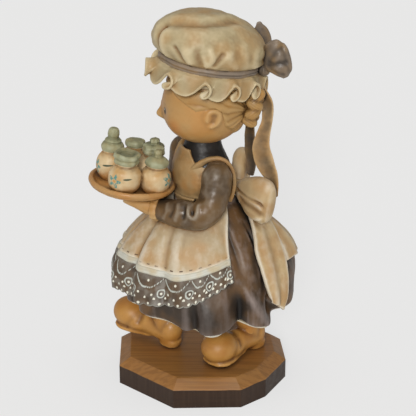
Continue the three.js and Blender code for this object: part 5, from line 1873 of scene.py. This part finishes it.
    def dents(self) -> list[Stroke]:
        """Folds of the puffed crown: the long soft ones above and the small gathers over the band."""
        top = [(7, -18.8, 12.3), (9.4, -13.3, 14.5), (11.2, -5.4, 16.1), (9, 1.5, 16.9), (4, 6.5, 17.6)]
        front = [(7, -18.8, 12.3), (9, -19.8, 8.3), (9.8, -20, 5.2), (11.6, -18.5, 1.8)]
        far = [(-6, -18.7, 12.9), (-12, -11.2, 14), (-12.6, -1.2, 15), (-8, 6.8, 15.7)]
        return [
            self.fold(front, 2.0, -1.3),
            self.fold([(x + 3.2, y + 1.4, z) for x, y, z in front], 2.8, 0.5),
            self.fold(top, 2.6, -1.4),
            self.fold([(x + 4.6, y, z - 2.2) for x, y, z in top], 3.8, 0.9),
            self.fold([(x - 4.6, y, z + 0.6) for x, y, z in top[1:]], 3.8, 0.7),
            self.fold(far, 2.6, -1.2),
            Stroke([(16.6, -9.4, 140.0), (17.9, -8.0, 137.2), (17.9, -6.4, 134.6)], 0.95, -0.9),
            Stroke([(17.2, -11.4, 138.4), (17.6, -9.8, 134.8)], 1.8, 0.55),
            Stroke([(18.6, -5.6, 139.0), (19.2, -4.2, 134.8)], 1.9, 0.5),
            Stroke([(19.8, -1.6, 139.4), (20.2, -0.6, 134.8)], 1.7, -0.6),
            Stroke([(20.4, 3.4, 139.8), (20.6, 4.2, 136.2)], 1.5, 0.75),
            Stroke([(20.2, 1.2, 137.2), (20.2, 1.6, 134.6)], 1.1, 0.4),
            Stroke([(19.8, 8.0, 138.2), (20.3, 6.4, 136.2), (20.3, 5.2, 134.4)], 1.15, -0.9),
            Stroke([(19.4, 10.6, 138.4), (20.0, 9.4, 134.8)], 2.0, 0.5),
            crease([(14.6, 13.2, 143.8), (17.2, 14.2, 140.0), (17.6, 14.2, 136.0)], 2.4, -0.6),
            Stroke([(14.4, 19.0, 138.6), (14.4, 18.4, 134.6)], 1.6, -0.5),
            Stroke([(-15.4, -10.6, 140.8), (-15.8, -8.4, 135.4)], 1.0, -1.0),
            Stroke([(-19.2, -3.0, 139.4), (-19.6, -2.0, 135.4)], 1.4, -0.6),
            Stroke([(-19.6, 4.0, 139.0), (-19.8, 5.6, 135.0)], 0.9, -0.9),
            Stroke([(-14.0, 16.0, 140.0), (-14.0, 14.6, 136.0)], 1.3, -0.9),
            Stroke([(-4.0, 20.4, 138.6), (-4.0, 20.4, 134.6)], 1.2, -0.8),
            Stroke([(1.0, -19.4, 139.6), (2.0, -18.6, 135.4)], 1.0, -1.0),
            Stroke([(-8.0, -17.6, 140.0), (-8.0, -17.0, 135.6)], 1.4, -0.7),
        ]

    def fold(self, path: Sequence[Point], width: float, depth: float) -> Stroke:
        """A long soft stroke along a path in the bonnet's own frame."""
        return Stroke([tuple(p) for p in self.placed(np.array(curve(path)))], width, depth)


@dataclass
class Bow:
    """A bow: two loops and a knot, each a list of rows of x, y, z, width and depth."""

    prefix: str
    finish: Finish
    slot: str
    knot: tuple
    knot_half: Point
    left: tuple
    right: tuple
    right_across: Point
    left_strokes: tuple = ()
    right_strokes: tuple = ()

    def build(self, shop: Workshop) -> None:
        """Shapes the loops and the knot."""
        loops = (
            ("left", self.left, (0, 0, 1), 1.6, self.left_strokes),
            ("right", self.right, self.right_across, 1.2, self.right_strokes),
        )
        for side, rows, across, end, strokes in loops:
            shape = joined([rod(rows, across, 64, 90, end, 0.85)], 0.32, 1)
            name = f"{self.prefix}_loop_{side}_carved"
            shop.finish(name, shape, self.finish, self.slot, strokes=strokes)
        shape = ball(self.knot, self.knot_half, 5)
        x, y, z = self.knot
        lines = [[(x + 2.6, y + k, z + 2.6), (x + 2.6, y + 1.2 * k, z - 2.6)] for k in (-1, 0.4, 1.6)]
        grooves = [Stroke(line, 0.5, -0.35) for line in lines]
        name = f"{self.prefix}_knot_carved"
        shop.finish(name, shape, self.finish, self.slot, strokes=grooves, tooling=0.12)


@dataclass
class Ribbon:
    """A hanging ribbon tail with a hollow down its middle."""

    name: str
    rows: tuple
    across: Point
    cup: float = 0.8
    finish: Finish = Palette.ribbon

    def build(self, shop: Workshop) -> None:
        """Shapes the ribbon."""
        shape = rod(self.rows, self.across, 56, 170, 0.8, 0.8, self.cup)
        shop.finish(f"{self.name}_carved", shape, self.finish, "painted_ribbon", tooling=0.1)


@dataclass
class BowTail:
    """A tail of the apron's bow laid down the back of the skirt: rows of angle, drop, outward and width."""

    name: str
    bell: Bell
    rows: tuple
    slant: float = 0.14
    crease: float = 0.3

    def build(self, shop: Workshop) -> None:
        """Shapes the tail with a fold line down it."""

        def surface(u: Array, w: Array) -> Array:
            """Places on the tail."""
            row = through(self.rows, w)
            plain = self.bell.point(row[:, 0], row[:, 1])
            radius = np.hypot(plain[:, 0], plain[:, 1])
            angle = row[:, 0] + np.degrees((u - 0.5) * row[:, 3] / radius)
            fold = 0.8 * np.exp(-(((u - self.crease) / 0.13) ** 2))
            fold = fold - 0.5 * np.exp(-(((u - 0.62) / 0.16) ** 2))
            lift = fold * smoothstep(0.05, 0.4, w) + 0.9 * (u - 0.3) * w + 0.3 * np.cos(TURN * 1.5 * w)
            return self.bell.point(angle, row[:, 1] + self.slant * (u - 0.5) * w**2, row[:, 2] + lift)

        shape = plate(70, 130, surface, 1.7, 40.0)
        shop.finish(f"{self.name}_carved", shape, Palette.bow, "painted_apron", tooling=0.1)


class Studio:
    """The floor, the light and the camera."""

    background: Rgb = (229, 229, 229)
    evenness: float = 1.12
    lamps: tuple = (("key", 2.0, (1, -0.1, 0.46), 14), ("top", 0.6, (0.12, -0.04, 1), 38))
    camera_at: Point = (0.5193, 0.0025, 0.2915)
    camera_down: float = 23.0
    lens: float = 127.0
    sensor: float = 36.0

    def build(self) -> None:
        """Sets up the studio."""
        bpy.context.scene.view_settings.view_transform = "Standard"
        self.floor()
        self.light()
        self.camera()

    def floor(self) -> None:
        """Lays a plain pale floor."""
        shape = bmesh.new()
        bmesh.ops.create_grid(shape, x_segments=8, y_segments=8, size=2.5)
        mesh = bpy.data.meshes.new("floor")
        shape.to_mesh(mesh)
        shape.free()
        material = bpy.data.materials.new("pale_floor")
        material.use_nodes = True
        graph = Graph(material.node_tree)
        graph.tree.nodes.clear()
        matt = graph.node("ShaderNodeBsdfPrincipled", Base_Color=linear(self.background), Roughness=0.9)
        matt.inputs["Specular IOR Level"].default_value = 0.1
        even = graph.node("ShaderNodeEmission", Color=linear(self.background), Strength=self.evenness)
        seen = graph.node("ShaderNodeLightPath").outputs["Is Camera Ray"]
        both = graph.blend(graph.math("MULTIPLY", seen, 0.72), matt, even)
        graph.plug(graph.node("ShaderNodeOutputMaterial").inputs[0], both)
        mesh.materials.append(material)
        floor = bpy.data.objects.new("floor", mesh)
        bpy.context.scene.collection.objects.link(floor)

    def light(self) -> None:
        """Weak light from all round, a main light from beside the camera and a soft one from above."""
        world = bpy.data.worlds.new("studio")
        bpy.context.scene.world = world
        world.use_nodes = True
        graph = Graph(world.node_tree)
        graph.tree.nodes.clear()
        seen = graph.node("ShaderNodeLightPath").outputs["Is Camera Ray"]
        plain = graph.node("ShaderNodeBackground", Color=(1.0, 0.99, 0.97, 1.0), Strength=0.33)
        pale = graph.node("ShaderNodeBackground", Color=linear(self.background), Strength=1.0)
        graph.plug(graph.node("ShaderNodeOutputWorld").inputs[0], graph.blend(seen, plain, pale))
        for name, strength, towards, spread in self.lamps:
            lamp = bpy.data.lights.new(name, "SUN")
            lamp.energy = strength
            lamp.angle = math.radians(spread)
            lamp.color = (1.0, 0.98, 0.95)
            holder = bpy.data.objects.new(name, lamp)
            holder.rotation_euler = Vector(towards).to_track_quat("Z", "Y").to_euler()
            bpy.context.scene.collection.objects.link(holder)

    def camera(self) -> None:
        """Stands the camera where the photograph was taken."""
        lens = bpy.data.cameras.new("camera")
        lens.lens = self.lens
        lens.sensor_width = self.sensor
        holder = bpy.data.objects.new("camera", lens)
        holder.location = self.camera_at
        holder.rotation_euler = (math.radians(90 - self.camera_down), 0, math.radians(90))
        bpy.context.scene.collection.objects.link(holder)
        bpy.context.scene.camera = holder


LEFT_CREASES = (
    crease([(18.2, -6.6, 81.6), (20.6, -6.2, 79.2), (21.2, -6.6, 76.2)], 0.9, -0.6),
    crease([(16.4, -10.6, 80.4), (18.4, -10.8, 78.0), (18.2, -11.4, 75.4)], 0.9, -0.5),
    crease([(20.2, -3.4, 81.8), (21.9, -3.5, 79.6), (22.4, -3.3, 78.0)], 0.85, -0.7),
    crease(
        [(19.4, -5.2, 81.2), (21.8, -5.0, 78.2), (23.0, -3.2, 76.6), (23.0, -1.6, 78.6), (21.4, -1.2, 81.8)],
        0.8,
        0.55,
    ),
    crease([(17.4, -8.6, 80.2), (19.6, -8.7, 77.6), (19.6, -9.2, 74.8)], 1.0, 0.4),
    crease([(14.8, -12.6, 79.0), (17.0, -13.0, 76.8), (16.4, -13.8, 74.0)], 0.9, 0.35),
    crease([(14.0, -4.6, 80.6), (17.8, -2.6, 82.6), (20.6, 0.2, 83.4)], 1.5, -0.6),
    crease([(17.6, 0.4, 94.2), (20.0, 1.6, 90.0), (20.6, 1.0, 86.0)], 2.2, 0.25),
)

RIGHT_CREASES = (
    crease([(-18.0, -11.6, 80.4), (-19.6, -12.4, 77.6), (-17.6, -13.6, 74.6)], 0.8, -0.9),
    crease([(-15.0, -15.4, 79.4), (-15.8, -16.4, 76.4), (-13.6, -17.0, 73.8)], 0.75, -0.8),
    crease([(-19.8, -9.4, 81.6), (-21.0, -9.6, 78.8), (-19.6, -10.4, 76.0)], 0.8, 0.5),
)

SHOES = (
    Shoe("left", (-1.5, 21.5, 11.0), -45, 0, (2.1, 21.9, 38.6)),
    Shoe("right", (-1, -12, 11.4), -123, -7, (-3.7, -12.2, 38.6)),
)

ARMS = (
    Arm(
        "left",
        (
            (12.6, 5.8, 93.9, 3.4), (14.2, 5.8, 90.6, 5.6), (15.8, 5.3, 85, 5.6), (17.6, 3.5, 79.4, 5.6),
            (17.8, -0.5, 76, 5.8), (16, -5.5, 75.2, 5.4), (13, -10.5, 74.8, 5), (10.2, -14.6, 74.8, 4.4),
        ),
        (8.8, -16.8, 74.8),
        -112,
        LEFT_CREASES,
    ),
    Arm(
        "right",
        (
            (-12.4, -6.5, 94, 3), (-14, -7, 91, 5.1), (-15.4, -7.4, 85, 5.3), (-15.6, -8.4, 79.4, 5.5),
            (-13.8, -10.8, 75.8, 5.5), (-11.2, -13.2, 74.8, 5.1), (-8.6, -15.4, 74.8, 4.6),
            (-6.6, -17, 75, 4.2),
        ),
        (-4.4, -18.8, 75.2),
        -46,
        RIGHT_CREASES,
    ),
)

BONNET_BOW = Bow(
    "bonnet_bow",
    Palette.ribbon,
    "painted_ribbon",
    (4.4, 23.0, 128.2), (2.3, 2.4, 2.6),
    (
        (5.2, 23.4, 130.0, 4.6, 3), (6.2, 25.2, 131.4, 11.0, 4.6), (7, 27.4, 132.6, 14.6, 5.6),
        (7.4, 29.6, 133.2, 14.4, 5.0), (7.6, 31.0, 133.6, 11.5, 3.2),
    ),
    (
        (3.4, 23.0, 130, 2.6, 2.2), (1.2, 22.8, 133.6, 5.4, 3), (-1.8, 22.4, 137.6, 7.0, 3.4),
        (-3.8, 21.8, 140.8, 5.4, 2.8), (-4.6, 21.4, 142.6, 2.4, 1.4),
    ),
    (0, 1, 0),
    (
        crease([(8.6, 24.0, 130.6), (10.0, 27.4, 131.8), (9.8, 30.6, 132.2)], 1.2, -0.7),
        crease([(8.6, 24.6, 132.4), (9.8, 27.0, 136.0), (9.4, 29.2, 137.6)], 1.2, -0.5),
        crease([(8.8, 25.0, 129.2), (9.6, 27.6, 128.0), (9.0, 29.6, 127.6)], 1.0, -0.45),
    ),
    (crease([(1.6, 24.2, 134.0), (-1.2, 23.8, 137.6), (-3.2, 22.8, 140.6)], 0.8, -0.7),),
)

RIBBONS = (
    Ribbon(
        "bonnet_tail_left",
        (
            (3.0, 20.4, 122, 4.4, 1.6), (3.2, 24.4, 115, 4.6, 1.6), (3.4, 24.6, 108, 4.2, 1.6),
            (3.4, 23.2, 102, 5.4, 1.6), (3.6, 22.6, 97, 7.0, 1.6), (4.2, 24.0, 91.6, 7.4, 1.6),
            (5.0, 26.4, 86.4, 5.4, 1.6), (5.8, 27.6, 82.2, 3.4, 1.5), (6.4, 27.8, 79.0, 2.6, 1.2),
        ),
        (0.3, 1, 0.15),
        0.9,
        Palette.tail,
    ),
    Ribbon(
        "bonnet_tail_right",
        (
            (-4, 16.6, 112, 3.2, 1.5), (-5, 18.4, 104, 3.6, 1.5), (-6, 18.6, 98, 4.4, 1.5),
            (-6.4, 19.0, 92, 4.8, 1.5), (-6.2, 19.4, 86.4, 3.6, 1.3), (-6, 19.0, 83, 3, 1.2),
        ),
        (0.5, 1, 0),
    ),
)

APRON_BOW = Bow(
    "apron_bow",
    Palette.bow,
    "painted_apron",
    (-2.6, 13.4, 79), (3, 3, 3),
    (
        (-0.6, 14, 79, 5, 4), (4.2, 17.2, 79.4, 12, 7.4), (8.6, 20.8, 79.0, 17.4, 9),
        (12, 24, 78.4, 18.2, 8), (13.4, 25.6, 78, 15.5, 5.4),
    ),
    (
        (-4.6, 13.6, 80, 5, 4), (-8.6, 14.6, 82, 11, 6.4), (-12.6, 15.6, 83.6, 15, 7.6),
        (-15.8, 16.4, 84.6, 13, 6.4), (-17.6, 16.8, 85, 6, 3),
    ),
    (0, 0, 1),
    (
        crease([(4.0, 13.4, 80.6), (9.4, 16.8, 80.2), (15.0, 21.6, 79.0), (16.4, 23.6, 76.0)], 0.7, -1.1),
        crease([(6.6, 14.8, 77.4), (12.0, 18.8, 76.2), (14.6, 21.6, 74.6)], 1.6, -0.9),
        crease([(6.0, 14.6, 73.4), (11.6, 18.6, 71.6), (15.0, 22.4, 72.4)], 0.9, 0.5),
    ),
    (
        crease([(-6.8, 11.2, 84.0), (-11.6, 12.0, 86.0), (-15.6, 13.0, 87.4)], 0.9, -0.8),
        crease([(-7.6, 18.2, 82.0), (-12.4, 19.4, 83.4), (-16.0, 19.4, 84.0)], 0.9, -0.8),
    ),
)

LEFT_TAIL = (
    (92, 0.01, 1.6, 6), (72, 0.16, 1.9, 12), (57, 0.34, 2.2, 14.5), (51, 0.5, 2.4, 13.2),
    (48, 0.66, 2.5, 11.0), (47.5, 0.78, 2.7, 8.6), (47, 0.85, 2.8, 5.0),
)

RIGHT_TAIL = (
    (110, 0.01, 1.2, 6), (92, 0.18, 1.3, 12), (86, 0.36, 1.4, 17), (83, 0.5, 1.5, 18), (81, 0.6, 1.6, 17),
)


def main() -> None:
    """Builds every sub-assembly in order, then the studio."""
    logging.basicConfig(level=logging.INFO, format="%(message)s")
    shop = Workshop(Effects())
    bell = Bell()
    assemblies = (
        Block(),
        *SHOES,
        Skirt(bell),
        Apron(bell),
        Torso(),
        *ARMS,
        Tray(),
        Head(),
        Bonnet(),
        BONNET_BOW,
        *RIBBONS,
        APRON_BOW,
        BowTail("apron_bow_tail_left", bell, LEFT_TAIL),
        BowTail("apron_bow_tail_right", bell, RIGHT_TAIL, 0.06, 0.5),
    )
    for assembly in assemblies:
        assembly.build(shop)
    shop.paint_contact_shade()
    Studio().build()


if __name__ == "__main__":
    main()
